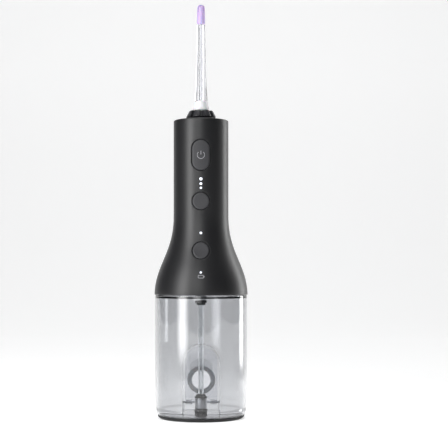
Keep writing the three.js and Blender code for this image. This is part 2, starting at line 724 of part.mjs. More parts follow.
function makeTank() {
  const inner = TANK_RADIUS - TANK_WALL;
  let tank = revolve([
    [0, 0.7], [FOOT_INNER - GAP, 0.7], [FOOT_INNER - GAP, 1.1], [28.6, 1.1], [29.3, FOOT_TOP + GAP],
    [32, FOOT_TOP + GAP], [32.5, 4.2], [33.1, 6.9], [TANK_RADIUS, 9.8], [TANK_RADIUS, TANK_RIM],
    [NECK_OUTER, TANK_RIM], [NECK_OUTER, NECK_TOP], [NECK_INNER, NECK_TOP],
    [NECK_INNER, 88.2], [inner, 87.4], [inner, 9.8], [30.5, 6.6], [28.4, 4.4], [26.3, 2.9],
    [24.3, TANK_FLOOR], [0, TANK_FLOOR],
  ]);
  const outside = rod(33.2, 1.2, 80, ROUND);
  const jacket = arch(POCKET_HALF + POCKET_WALL, 1.2, ARCH_CENTRE);
  const shell = upright(jacket, POCKET_FACE - POCKET_WALL, 40, 0, 8).intersect(outside);
  const foothold = revolve([
    [0, 1.2], [28.6, 1.2], [29.2, FOOT_TOP + GAP], [31.9, FOOT_TOP + GAP], [33, 6.9], [33, 80], [0, 80],
  ]);
  tank = join(tank, shell.intersect(foothold));
  for (const angle of LUG_ANGLES) {
    const lug = ringSector(NECK_OUTER - 0.6, 31.3, angle, LUG_HALF_ANGLE, LUG_LOW, LUG_LOW + 2);
    tank = join(tank, lug);
  }
  return cut(
    tank,
    upright(arch(POCKET_HALF, POCKET_LOW, ARCH_CENTRE), POCKET_FACE, 40, 0, 8),
    upright(disc(PORT_RADIUS), 20, 30, PORT_HEIGHT, 6),
    alongX(rod(0.8, -14, 14, TINY), DOOR_AXIS_Y, DOOR_AXIS_Z),
  );
}

function makeDoor() {
  const skin = pipe(DOOR_OUTER, DOOR_INNER, 0, 60, ROUND);
  const panel = upright(arch(DOOR_HALF, DOOR_LOW, ARCH_CENTRE), 20, 40, 0, 8).intersect(skin);
  const arms = block(-9, 9, DOOR_AXIS_Y, 32, DOOR_AXIS_Z - 0.9, DOOR_AXIS_Z + 0.9);
  const barrel = alongX(rod(1.6, -11.9, 11.9, TINY), DOOR_AXIS_Y, DOOR_AXIS_Z);
  const collar = cut(
    upright(disc(10), 29.6, 40, PORT_HEIGHT, 6),
    upright(disc(8.2), 29, 41, PORT_HEIGHT, 6),
  );
  const seat = collar.intersect(rod(DOOR_OUTER - 0.3, 0, 60, ROUND));
  const bore = alongX(rod(0.8, -14, 14, TINY), DOOR_AXIS_Y, DOOR_AXIS_Z);
  return cut(join(panel, arms, barrel, seat), bore);
}

node('water_tank', makeTank(), CLEAR);
node('fill_door', makeDoor(), CLEAR);
node('fill_door_seal', cut(
  upright(disc(10.6), POCKET_FACE + GAP, 29.3, PORT_HEIGHT, 10),
  upright(disc(7.4), 26, 30, PORT_HEIGHT, 10),
), SILICONE);
node('fill_door_pin', alongX(rod(0.6, -13.7, 13.7, TINY), DOOR_AXIS_Y, DOOR_AXIS_Z), STEEL);
node('tank_foot', revolve([
  [FOOT_INNER, 0], [29.8, 0], [31.3, 1.06], [31.8, FOOT_TOP], [29.6, FOOT_TOP], [28.9, 0.8],
  [FOOT_INNER, 0.8], [FOOT_INNER, 0],
], MEDIUM), RUBBER);

export default flosser;
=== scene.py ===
import math

import bmesh
import bpy
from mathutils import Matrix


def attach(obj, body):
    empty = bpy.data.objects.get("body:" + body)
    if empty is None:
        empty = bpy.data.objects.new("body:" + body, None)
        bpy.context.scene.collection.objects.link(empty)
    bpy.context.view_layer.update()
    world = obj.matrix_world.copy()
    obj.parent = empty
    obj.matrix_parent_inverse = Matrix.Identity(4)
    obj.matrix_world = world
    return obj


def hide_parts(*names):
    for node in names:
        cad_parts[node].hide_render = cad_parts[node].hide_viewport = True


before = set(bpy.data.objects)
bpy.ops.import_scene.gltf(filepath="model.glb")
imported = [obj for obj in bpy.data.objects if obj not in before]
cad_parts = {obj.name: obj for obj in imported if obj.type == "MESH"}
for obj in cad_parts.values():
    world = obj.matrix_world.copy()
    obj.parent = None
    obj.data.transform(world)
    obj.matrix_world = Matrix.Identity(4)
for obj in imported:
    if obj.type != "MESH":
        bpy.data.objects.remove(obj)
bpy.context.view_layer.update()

# ---------------------------------------------------------------- camera
# A long lens at about half the object's height, level, and square to its front.
# The frame is raised rather than the camera tilted, so that upright lines stay upright.

MM = 0.001
camera = bpy.data.cameras.new("camera")
camera.sensor_width = 36
camera.lens = 96.4
camera.shift_x = 0.039
camera.shift_y = 0.1317
tripod = bpy.data.objects.new("camera", camera)
tripod.location = (4 * MM, -876 * MM, 106.2 * MM)
tripod.rotation_euler = (math.radians(90), 0, 0)
bpy.context.collection.objects.link(tripod)
bpy.context.scene.camera = tripod

# ---------------------------------------------------------------- suction hose
# A clear extruded PVC tube that hangs in the tank from the pump's connector. It is pushed over the
# connector at the top and ends in the weight, so that it always drinks from the lowest water.

HOSE_Y = -16
HOSE_TOP = 85
HOSE_LOW = 19.2
HOSE_RADIUS = 1.9
HOSE_BORE = 1.35
HOSE_STEPS = 20


def linear(code):
    """An sRGB hex colour as the linear one that a shader's socket takes."""
    channels = [int(code[i:i + 2], 16) / 255 for i in (0, 2, 4)]
    return [c / 12.92 if c <= 0.04045 else ((c + 0.055) / 1.055) ** 2.4 for c in channels] + [1]


def add(tree, kind, sockets=None, **settings):
    """Adds a node; a socket takes a plain value, or the output that is linked to it."""
    made = tree.nodes.new(kind)
    for setting, value in settings.items():
        setattr(made, setting, value)
    for socket, value in (sockets or {}).items():
        if isinstance(value, bpy.types.NodeSocket):
            tree.links.new(value, made.inputs[socket])
        else:
            made.inputs[socket].default_value = value
    return made


def new_material(name):
    material = bpy.data.materials.new(name)
    material.use_nodes = True
    material.node_tree.nodes.clear()
    return material, material.node_tree


def clear_plastic(name, colour, haze, ior, ripple_mm, ripple_depth):
    """See-through plastic: faint flow ripples from the mould, and light that passes to what is inside."""
    material, tree = new_material(name)
    place = add(tree, "ShaderNodeTexCoord").outputs["Object"]
    flow = add(tree, "ShaderNodeTexNoise", {"Vector": place, "Scale": 1 / (ripple_mm * MM), "Detail": 2})
    dull = add(tree, "ShaderNodeMapRange", {
        "Value": flow.outputs["Fac"], "To Min": haze * 0.6, "To Max": haze * 1.4,
    })
    ripple = add(tree, "ShaderNodeBump", {
        "Height": flow.outputs["Fac"], "Strength": 0.3, "Distance": ripple_depth * MM,
    })
    body = add(tree, "ShaderNodeBsdfPrincipled", {
        "Base Color": linear(colour), "Roughness": dull.outputs["Result"], "IOR": ior,
        "Transmission Weight": 1.0, "Normal": ripple.outputs["Normal"],
    })
    through = add(tree, "ShaderNodeBsdfTransparent", {"Color": linear(colour)})
    ray = add(tree, "ShaderNodeLightPath")
    both = add(tree, "ShaderNodeMixShader", {
        0: ray.outputs["Is Shadow Ray"], 1: body.outputs["BSDF"], 2: through.outputs["BSDF"],
    })
    add(tree, "ShaderNodeOutputMaterial", {"Surface": both.outputs["Shader"]})
    return material


def rounded(corners, fillet, closed=True, steps=4):
    """An outline in mm with each corner made an arc. A corner's third number is its own fillet."""
    made = []
    last = len(corners) - 1
    for i, corner in enumerate(corners):
        here = complex(*corner[:2])
        back = complex(*corners[i - 1][:2]) - here
        ahead = complex(*corners[(i + 1) % len(corners)][:2]) - here
        radius = corner[2] if len(corner) > 2 else fillet
        turn = abs(math.remainder(math.atan2((ahead / back).imag, (ahead / back).real), 2 * math.pi))
        if radius == 0 or turn > math.radians(176) or (not closed and i in (0, last)):
            made.append((here.real, here.imag))
            continue
        reach = min(radius / math.tan(turn / 2), 0.48 * abs(back), 0.48 * abs(ahead))
        start = here + back / abs(back) * reach
        end = here + ahead / abs(ahead) * reach
        pull = math.sin(turn / 2)
        for step in range(steps + 1):
            t = step / steps
            weights = ((1 - t) ** 2, 2 * t * (1 - t) * pull, t ** 2)
            point = (weights[0] * start + weights[1] * here + weights[2] * end) / sum(weights)
            made.append((point.real, point.imag))
    return made


def divided(outline, pitch, closed=True):
    """The same outline with points added, so that no side is longer than pitch."""
    made = []
    sides = zip(outline, outline[1:] + outline[:1]) if closed else zip(outline, outline[1:])
    for (x0, z0), (x1, z1) in sides:
        count = max(1, math.ceil(math.hypot(x1 - x0, z1 - z0) / pitch))
        made += [(x0 + (x1 - x0) * k / count, z0 + (z1 - z0) * k / count) for k in range(count)]
    return made if closed else made + [outline[-1]]


CREASE = 32


def piece(name, form, crease=CREASE):
    """A mesh object from a bmesh in mm: doubles merged, faces outward, edges sharper than crease kept."""
    bmesh.ops.remove_doubles(form, verts=form.verts, dist=1e-4)
    bmesh.ops.dissolve_degenerate(form, dist=1e-5, edges=form.edges)
    bmesh.ops.recalc_face_normals(form, faces=form.faces)
    bmesh.ops.scale(form, vec=(MM, MM, MM), verts=form.verts)
    mesh = bpy.data.meshes.new(name)
    form.to_mesh(mesh)
    form.free()
    mesh.shade_smooth()
    mesh.set_sharp_from_angle(angle=math.radians(crease))
    made = bpy.data.objects.new(name, mesh)
    bpy.context.collection.objects.link(made)
    return made


def loft(form, rings, closed):
    """Skins equal rings of vertices; a ring of one vertex is a pole."""
    pairs = list(zip(rings, rings[1:])) + ([(rings[-1], rings[0])] if closed else [])
    for low, high in pairs:
        for k in range(max(len(low), len(high))):
            ring = [low[k % len(low)], low[(k + 1) % len(low)]]
            ring += [high[(k + 1) % len(high)], high[k % len(high)]]
            ring = list(dict.fromkeys(ring))
            if len(ring) > 2:
                form.faces.new(ring)


def turned(name, profile, sides=96, at=(0, 0), axis="Z"):
    """A turned piece: [radius, height] points in mm swept about an axis through at."""
    form = bmesh.new()
    rings = []
    for radius, height in profile:
        ring = []
        for k in range(sides if radius else 1):
            angle = 2 * math.pi * k / sides
            u, v = at[0] + radius * math.cos(angle), at[1] + radius * math.sin(angle)
            place = {"Z": (u, v, height), "Y": (u, height, v), "X": (height, u, v)}[axis]
            ring.append(form.verts.new(place))
        rings.append(ring)
    loft(form, rings, closed=profile[0][0] > 0)
    return piece(name, form)


def fit(made, body, finish, slot, *nodes):
    """Gives a piece its material, and puts it on its body in place of the plain CAD nodes."""
    made.data.materials.clear()
    made.data.materials.append(finish)
    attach(made, body)
    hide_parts(*nodes)
    return made


# Clear PVC, extruded: glossy, a trace of grey, with faint draw waves about 3 mm apart.
clear_pvc = clear_plastic("clear_extruded_pvc", "EEF0F1", 0.06, 1.3, 3.0, 0.02)

hose_line = [HOSE_TOP + (HOSE_LOW - HOSE_TOP) * k / HOSE_STEPS for k in range(HOSE_STEPS + 1)]
hose_wall = [(HOSE_RADIUS, z) for z in hose_line] + [(HOSE_BORE, z) for z in reversed(hose_line)]
suction_hose = turned("suction_hose_tube", hose_wall, 40, (0, HOSE_Y))
fit(suction_hose, "suction_line", clear_pvc, "clear_plastic", "suction_hose")

# ---------------------------------------------------------------- suction weight and filter
# A turned stainless steel slug between a moulded cap, which grips the hose, and a filter basket
# with a slotted floor and slotted sides. The three parts are pressed together.

FILTER_LOW = 2.7
FILTER_TOP = 8.4
STEEL_LOW = 8.7
STEEL_TOP = 16.0
STEEL_RADIUS = 4.1
CAP_LOW = 16.3
CAP_TOP = 18.9
FILTER_RIBS = 18
FIRST_RIB = 10
FILTER_SLOT = 0.9


def moulded(name, colour, roughness, grain_mm, grain_depth, mottle=0.05, coat=0.0, subsurface=0.0):
    """Moulded plastic or rubber: the grain of the tool's surface, and a slight mottle."""
    material, tree = new_material(name)
    place = add(tree, "ShaderNodeTexCoord").outputs["Object"]
    grain = add(tree, "ShaderNodeTexNoise", {
        "Vector": place, "Scale": 1 / (grain_mm * MM), "Detail": 3, "Roughness": 0.6,
    })
    cloud = add(tree, "ShaderNodeTexNoise", {"Vector": place, "Scale": 1 / (9 * MM), "Detail": 2})
    tone = add(tree, "ShaderNodeMixRGB", {
        "Fac": cloud.outputs["Fac"],
        "Color1": [c * (1 - mottle) for c in linear(colour)[:3]] + [1],
        "Color2": [min(1, c * (1 + mottle)) for c in linear(colour)[:3]] + [1],
    })
    dull = add(tree, "ShaderNodeMapRange", {
        "Value": grain.outputs["Fac"], "To Min": roughness * 0.88, "To Max": roughness * 1.12,
    })
    pits = add(tree, "ShaderNodeBump", {
        "Height": grain.outputs["Fac"], "Strength": 0.5, "Distance": grain_depth * MM,
    })
    body = add(tree, "ShaderNodeBsdfPrincipled", {
        "Base Color": tone.outputs["Color"], "Roughness": dull.outputs["Result"],
        "Normal": pits.outputs["Normal"], "Coat Weight": coat, "Subsurface Weight": subsurface,
        "Subsurface Scale": 2 * MM,
    })
    add(tree, "ShaderNodeOutputMaterial", {"Surface": body.outputs["BSDF"]})
    return material


def worked_metal(name, colour, roughness, line_mm, line_depth, axis="Z"):
    """Turned or drawn metal: fine tool lines square to the axis over a slightly cloudy gloss."""
    material, tree = new_material(name)
    place = add(tree, "ShaderNodeTexCoord").outputs["Object"]
    lines = add(tree, "ShaderNodeTexWave", {
        "Vector": place, "Scale": 1 / (line_mm * MM) / 6.3, "Distortion": 1.5, "Detail": 2,
    }, wave_type="BANDS", bands_direction=axis)
    cloud = add(tree, "ShaderNodeTexNoise", {"Vector": place, "Scale": 1 / (4 * MM), "Detail": 3})
    dull = add(tree, "ShaderNodeMapRange", {
        "Value": cloud.outputs["Fac"], "To Min": roughness * 0.8, "To Max": roughness * 1.25,
    })
    cuts = add(tree, "ShaderNodeBump", {
        "Height": lines.outputs["Fac"], "Strength": 0.8, "Distance": line_depth * MM,
    })
    body = add(tree, "ShaderNodeBsdfPrincipled", {
        "Base Color": linear(colour), "Metallic": 1.0, "Roughness": dull.outputs["Result"],
        "Normal": cuts.outputs["Normal"],
    })
    add(tree, "ShaderNodeOutputMaterial", {"Surface": body.outputs["BSDF"]})
    return material


def slab(name, x0, x1, y0, y1, z0, z1, edge=0.0):
    """A straight-sided block in mm, with its edges rounded by edge."""
    form = bmesh.new()
    bmesh.ops.create_cube(form, size=1)
    for vertex in form.verts:
        vertex.co = [low + (c + 0.5) * (high - low) for c, low, high
                     in zip(vertex.co, (x0, y0, z0), (x1, y1, z1))]
    if edge:
        bmesh.ops.bevel(form, geom=form.edges, offset=edge, segments=3, profile=0.5, affect="EDGES")
    return piece(name, form)


def gathered(name, *parts):
    """Several meshes as one piece; the parts are used up."""
    form = bmesh.new()
    for part in parts:
        form.from_mesh(part.data)
        bpy.data.objects.remove(part)
    mesh = bpy.data.meshes.new(name)
    form.to_mesh(mesh)
    form.free()
    made = bpy.data.objects.new(name, mesh)
    bpy.context.collection.objects.link(made)
    return made


def baked(made):
    """Turns a piece's modifiers into plain mesh, with its sharp edges found again."""
    mesh = bpy.data.meshes.new_from_object(made.evaluated_get(bpy.context.evaluated_depsgraph_get()))
    made.modifiers.clear()
    form = bmesh.new()
    form.from_mesh(mesh)
    bmesh.ops.remove_doubles(form, verts=form.verts, dist=2e-6)
    bmesh.ops.dissolve_degenerate(form, dist=1e-6, edges=form.edges)
    form.to_mesh(mesh)
    form.free()
    made.data = mesh
    mesh.shade_smooth()
    mesh.set_sharp_from_angle(angle=math.radians(CREASE))
    return made


def shaped(made, operation, tool):
    """Joins, cuts or trims a piece with a tool, which is used up."""
    step = made.modifiers.new(operation.lower(), "BOOLEAN")
    step.operation = operation
    step.solver = "EXACT"
    step.object = tool
    baked(made)
    bpy.data.objects.remove(tool)
    return made


def ring_tree():
    """Geometry Nodes: the mesh, repeated evenly about Z, as real geometry with one material."""
    tree = bpy.data.node_groups.new("ring_of_copies", "GeometryNodeTree")
    sockets = {}
    for name, kind in (("Mesh", "NodeSocketGeometry"), ("Count", "NodeSocketInt"),
                       ("First angle", "NodeSocketFloat"), ("Centre", "NodeSocketVector"),
                       ("Finish", "NodeSocketMaterial")):
        sockets[name] = tree.interface.new_socket(name, in_out="INPUT", socket_type=kind).identifier
    tree.interface.new_socket("Mesh", in_out="OUTPUT", socket_type="NodeSocketGeometry")
    given = add(tree, "NodeGroupInput").outputs
    spots = add(tree, "GeometryNodePoints", {"Count": given["Count"]})
    share = add(tree, "ShaderNodeMath", {0: 2 * math.pi, 1: given["Count"]}, operation="DIVIDE")
    angle = add(tree, "ShaderNodeMath", {
        0: add(tree, "GeometryNodeInputIndex").outputs["Index"], 1: share.outputs[0],
        2: given["First angle"],
    }, operation="MULTIPLY_ADD")
    turn = add(tree, "ShaderNodeCombineXYZ", {"Z": angle.outputs[0]})
    copies = add(tree, "GeometryNodeInstanceOnPoints", {
        "Points": spots.outputs[0], "Instance": given["Mesh"], "Rotation": turn.outputs[0],
    })
    whole = add(tree, "GeometryNodeRealizeInstances", {"Geometry": copies.outputs["Instances"]})
    moved = add(tree, "GeometryNodeTransform", {
        "Geometry": whole.outputs["Geometry"], "Translation": given["Centre"],
    })
    painted = add(tree, "GeometryNodeSetMaterial", {
        "Geometry": moved.outputs["Geometry"], "Material": given["Finish"],
    })
    add(tree, "NodeGroupOutput", {"Mesh": painted.outputs["Geometry"]})
    return tree, sockets


RING_TREE, RING_SOCKETS = ring_tree()


def ring_of(part, count, finish, first=0.0, centre=(0, 0, 0)):
    """count copies of part about Z, the first one turned by first degrees, as a plain mesh."""
    step = part.modifiers.new("ring of copies", "NODES")
    step.node_group = RING_TREE
    step[RING_SOCKETS["Count"]] = count
    step[RING_SOCKETS["First angle"]] = math.radians(first)
    step[RING_SOCKETS["Centre"]] = [c * MM for c in centre]
    step[RING_SOCKETS["Finish"]] = finish
    return baked(part)


# Glass-filled POM in black: an even satin from a lightly eroded tool, grain about 0.2 mm.
satin_pom = moulded("black_moulded_pom", "0C0C0D", 0.36, 0.2, 0.01)
# Stainless steel, turned and polished: bright, with tool lines 0.25 mm apart just visible.
turned_steel = worked_metal("turned_stainless_steel", "8E9094", 0.3, 0.25, 0.002)

weight_cap = turned("suction_weight_cap", rounded([
    (HOSE_BORE, CAP_LOW), (4.6, CAP_LOW, 0.15), (4.6, CAP_LOW + 0.6, 0.25), (3.7, CAP_LOW + 1.2, 0.6),
    (2.75, CAP_TOP, 0.3), (HOSE_BORE, CAP_TOP),
], 0.1), 64, (0, HOSE_Y))
fit(weight_cap, "suction_line", satin_pom, "black_rubber", "weight_cap")

hose_weight = turned("suction_weight_slug", rounded([
    (1.2, STEEL_LOW), (STEEL_RADIUS, STEEL_LOW, 0.3), (STEEL_RADIUS, STEEL_TOP, 0.3), (1.2, STEEL_TOP),
], 0.1), 96, (0, HOSE_Y))
fit(hose_weight, "suction_line", turned_steel, "steel", "hose_weight")

basket = turned("filter_basket", rounded([
    (0, FILTER_LOW), (3.75, FILTER_LOW, 0.35), (4.15, FILTER_TOP - 1.5, 0.2),
    (4.65, FILTER_TOP - 1.3, 0.15), (4.65, FILTER_TOP, 0.2), (1.2, FILTER_TOP), (1.2, FILTER_TOP - 2),
    (0, FILTER_TOP - 2),
], 0.1, closed=False), 72)
slots = [
    slab("slot", -x, x, -y, y, FILTER_LOW - 1, FILTER_LOW + 2.2)
    for x, y in ((6, FILTER_SLOT / 2), (FILTER_SLOT / 2, 6))
]
shaped(basket, "DIFFERENCE", gathered("filter_slots", *slots))
ribs = ring_of(
    slab("filter_rib", 3.6, 4.45, -0.25, 0.25, FILTER_LOW + 0.7, FILTER_TOP - 1.1, 0.1),
    FILTER_RIBS, satin_pom, FIRST_RIB,
)
intake_filter = gathered("intake_filter_basket", basket, ribs)
for vertex in intake_filter.data.vertices:
    vertex.co.y += HOSE_Y * MM
fit(intake_filter, "suction_line", satin_pom, "black_rubber", "intake_filter")

# ---------------------------------------------------------------- housing
# The handle's shell is one injection-moulded piece of black ABS with a satin spark-eroded surface:
# a straight grip that flares into a skirt over the tank. Openings for keys and lights have a
# small rounded edge, and three ledges inside the skirt hold the tank's bayonet lugs.

SKIRT_LOW = 89.7
SKIRT_RADIUS = 34
SKIRT_BORE = 31.9
GRIP_RADIUS = 20
GRIP_LOW = 147
HOUSING_TOP = 216.5
HOUSING_WALL = 1.8
FLARE_PULLS = ((33.4, 112), (GRIP_RADIUS, 120))
FLARE_STEPS = 26
KEY_GAP = 0.42
OPENING_EDGE = 0.25
LIGHT_GAP = 0.1
POWER_HEIGHT = 189.8
POWER_SIZE = (12.9, 22)
INTENSITY_HEIGHT = 156.9
INTENSITY_SIZE = (12.3, 12.3)
MODE_HEIGHT = 121.5
MODE_SIZE = (12, 12)
INTENSITY_LIGHTS = ((172.7, 1.05), (169.3, 0.9), (166.3, 0.75))
MODE_LIGHT = (134.1, 0.85)
BATTERY_LIGHT = (105.9, 0.7)
PORT_HEIGHT = 155
PORT_SIZE = (14, 8)
RELEASE_HEIGHT = 206.6
RELEASE_SIZE = (11.4, 6.4)
BAYONET_LUGS = 3
BAYONET_FIRST = 30
DECK_SCREWS = 3
SCREW_CIRCLE = (25.5, 0)
SCREW_FIRST = 60


def flare_point(t):
    ends = ((SKIRT_RADIUS, SKIRT_LOW), *FLARE_PULLS, (GRIP_RADIUS, GRIP_LOW))
    weights = ((1 - t) ** 3, 3 * t * (1 - t) ** 2, 3 * t * t * (1 - t), t ** 3)
    return tuple(sum(w * end[i] for w, end in zip(weights, ends)) for i in (0, 1))


FLARE = [flare_point(k / FLARE_STEPS) for k in range(FLARE_STEPS + 1)]


def skin_radius(height):
    """The radius of the housing's outer face at a height."""
    for (r0, z0), (r1, z1) in zip(FLARE, FLARE[1:]):
        if z0 <= height <= z1:
            return r0 + (r1 - r0) * (height - z0) / (z1 - z0)
    return SKIRT_RADIUS if height < SKIRT_LOW else GRIP_RADIUS


def stadium(size):
    """A round-ended outline about its centre, as a function of how far it is drawn in."""
    arc, run = 10, 5
    half = min(size) / 2
    across, up = size[0] / 2 - half, size[1] / 2 - half
    centres = ((across, up), (-across, up), (-across, -up), (across, -up))

    def outline(inset):
        made = []
        for quarter, (x, z) in enumerate(centres):
            nx, nz = centres[(quarter + 1) % 4]
            for k in range(arc + 1):
                angle = math.pi / 2 * (quarter + k / arc)
                made.append((x + (half - inset) * math.cos(angle), z + (half - inset) * math.sin(angle)))
            ex, ez = made[-1][0] - x, made[-1][1] - z
            if (nx, nz) != (x, z):
                made += [(x + (nx - x) * k / run + ex, z + (nz - z) * k / run + ez) for k in range(1, run)]
        return made

    return outline, half


def on_skin(name, size, height, layers, side=-1, flatness=0.0, dish=0.0, face_rings=6):
    """A closed shape that follows the housing's face about a height. Each layer is how far the outline
    is drawn in and how far it stands out of the skin, from the back to the front."""
    outline, half = stadium(size)
    back_rise = layers[0][1]
    front_inset, front_rise = layers[-1]
    stack = [(half, back_rise)] + list(layers)
    for ring in range(1, face_rings + 1):
        share = ring / face_rings
        sink = dish * share * (2 - share)
        stack.append((front_inset + (half - front_inset) * share, front_rise - sink))
    form = bmesh.new()
    rings = []
    for inset, rise in stack:
        ring = []
        for x, z in outline(inset):
            radius = skin_radius(height + z) + rise
            depth = math.sqrt(radius ** 2 - x ** 2)
            depth += flatness * (radius - depth)
            ring.append(form.verts.new((x, side * depth, height + z)))
        rings.append(ring)
    loft(form, rings, closed=False)
    return piece(name, form)


def opening(size, height, side=-1):
    """The tool that cuts a hole through the wall, with a rounded edge at the skin."""
    edge = OPENING_EDGE
    return on_skin("opening", size, height, [
        (-KEY_GAP, -5), (-KEY_GAP, -edge), (-KEY_GAP - 0.3 * edge, -0.3 * edge), (-KEY_GAP - edge, 0),
        (-KEY_GAP - edge - 0.4, 0.4),
    ], side)


# Black ABS, spark-eroded: the grain is about 0.12 mm, drawn at 0.3 mm so that it shows as a satin.
satin_abs = moulded("black_spark_eroded_abs", "121214", 0.4, 0.3, 0.012, mottle=0.08)

bore = GRIP_RADIUS - HOUSING_WALL
inner_flare = [(radius - HOUSING_WALL, height) for radius, height in FLARE if 96.5 < height < 146]
shell_outline = divided(rounded([
    *[(r, z, 0) for r, z in FLARE[1:]], (GRIP_RADIUS, HOUSING_TOP, 0.9), (bore, HOUSING_TOP, 0.2),
    (bore, 213.7), (bore - 1.2, 213.7), (bore - 1.2, 212.2), (bore, 211), (bore, GRIP_LOW, 0),
    *[(r, z, 0) for r, z in reversed(inner_flare)], (SKIRT_BORE, 95.5), (SKIRT_BORE, SKIRT_LOW, 0.25),
    (SKIRT_RADIUS, SKIRT_LOW, 0.3),
], 0.1), 3.5)
housing = turned("housing_shell", shell_outline, 144)
openings = [
    opening(POWER_SIZE, POWER_HEIGHT), opening(INTENSITY_SIZE, INTENSITY_HEIGHT),
    opening(MODE_SIZE, MODE_HEIGHT),
    opening(RELEASE_SIZE, RELEASE_HEIGHT, 1),
    on_skin("port_recess", PORT_SIZE, PORT_HEIGHT, [
        (-KEY_GAP, -0.95), (-KEY_GAP, -0.2), (-KEY_GAP - 0.2, 0), (-KEY_GAP - 0.6, 0.4),
    ], 1),
]
for height, radius in (*INTENSITY_LIGHTS, MODE_LIGHT, BATTERY_LIGHT):
    openings.append(on_skin("light_hole", (2 * radius, 2 * radius), height, [
        (-LIGHT_GAP, -5), (-LIGHT_GAP, -0.1), (-LIGHT_GAP - 0.1, 0), (-LIGHT_GAP - 0.1, 0.4),
    ]))
shaped(housing, "DIFFERENCE", gathered("openings", *openings))
hinge_notch = on_skin("port_hinge_notch", (6.2, 1.9), 150.55, [(0, -1.1), (0, 0.5)], 1)
shaped(housing, "DIFFERENCE", hinge_notch)
plug_hole = on_skin("plug_hole", (9.8, 4), PORT_HEIGHT, [(0, -6), (0, 0.5)], 1)
shaped(housing, "DIFFERENCE", plug_hole)


def sector(name, inner, outer, half_angle, low, high, middle=0.0, steps=12):
    """A block of a ring about Z, centred on one angle."""
    form = bmesh.new()
    rings = []
    for k in range(steps + 1):
        angle = math.radians(middle - half_angle + 2 * half_angle * k / steps)
        rings.append([form.verts.new((r * math.cos(angle), r * math.sin(angle), z))
                      for r, z in ((inner, low), (outer, low), (outer, high), (inner, high))])
    loft(form, rings, closed=False)
    form.faces.new(rings[0])
    form.faces.new(rings[-1])
    return piece(name, form)


ledges = ring_of(gathered(
    "ledge_and_stop", sector("ledge", 30.8, 32.5, 14, 90.2, 92.2),
    sector("stop", 31, 32.5, 1.5, 90.2, 95, -14.5, 3),
), BAYONET_LUGS, satin_abs, BAYONET_FIRST)
bosses = ring_of(turned("deck_screw_boss", rounded([
    (1.3, 101.1), (2.6, 101.1, 0.2), (2.6, 109), (1.3, 109),
], 0.1), 32, SCREW_CIRCLE), DECK_SCREWS, satin_abs, SCREW_FIRST)
handle_housing = gathered("handle_housing_shell", housing, ledges, bosses)
fit(handle_housing, "handle", satin_abs, "matte_black", "handle_housing")

# The cap that closes the housing's top under the knob: a low cone in the same ABS, glued in.
top_cap = turned("top_cap_disc", rounded([
    (6.4, 214), (17.9, 214), (17.9, 216.3, 0.3), (12, 217.4, 6), (6.4, 217.8, 0.2),
], 0.15), 96)
fit(top_cap, "handle", satin_abs, "matte_black", "top_cap")

# ---------------------------------------------------------------- front keys
# Three keys moulded in the same black ABS in a finer satin: a round-ended power key and two
# round keys. Each has a flange behind the wall and a plunger that presses its switch.

KEY_RISE = 0.25
KEY_EDGE = 0.7
KEY_FLANGE = 0.9
FRONT_PLUNGER = (2.3, 14.6)
RELEASE_PLUNGER = (1.1, 9)

# Finer spark erosion than the shell makes the keys more even. Their base colour is painted a shade lighter
# than the shell's black: painted light, standing in for the grey that their dished faces catch from the
# lamps.
key_abs_painted_lighter = moulded("black_fine_satin_abs_painted_lighter", "2A2A2D", 0.5, 0.25, 0.01, mottle=0.05)


def rod(name, radius, low, high, sides=24, at=(0, 0), axis="Z"):
    """A straight round rod, or the drill for a straight round hole."""
    return turned(name, [(0, low), (radius, low), (radius, high), (0, high)], sides, at, axis)


def key(name, size, height, plunger, side=-1, flatness=0.0, dish=0.0):
    """A key cap with its flange and its plunger, which is given as its radius and its end along Y."""
    edge, rise = KEY_EDGE, KEY_RISE
    radius, end = plunger
    face = on_skin("key_face", size, height, [
        (0, -2.4), (0, rise - edge), (0.08 * edge, rise - 0.6 * edge), (0.3 * edge, rise - 0.3 * edge),
        (0.65 * edge, rise - 0.08 * edge), (edge, rise),
    ], side, flatness, dish)
    lip = on_skin("key_flange", size, height, [(-KEY_FLANGE, -3.3), (-KEY_FLANGE, -2.2)], side)
    root = side * (skin_radius(height) - 3)
    stem = rod("key_plunger", radius, side * end, root, 32, (0, height), "Y")
    return gathered(name, face, lip, stem)


power_key = key("power_key_cap", POWER_SIZE, POWER_HEIGHT, FRONT_PLUNGER, flatness=0.35, dish=0.15)
fit(power_key, "power_key", key_abs_painted_lighter, "matte_black", "power_button")
intensity_key = key("intensity_key_cap", INTENSITY_SIZE, INTENSITY_HEIGHT, FRONT_PLUNGER,
                    flatness=0.35, dish=0.45)
fit(intensity_key, "intensity_key", key_abs_painted_lighter, "matte_black", "intensity_button")
mode_key = key("mode_key_cap", MODE_SIZE, MODE_HEIGHT, FRONT_PLUNGER, flatness=0.35, dish=0.45)
fit(mode_key, "mode_key", key_abs_painted_lighter, "matte_black", "mode_button")

# ---------------------------------------------------------------- printed symbols
# A power symbol on the power key and a battery symbol on the skirt, pad-printed in a thin layer
# of grey ink. They are the only marks on the handle.

INK_THICKNESS = 0.03
INK_LINE = 0.34


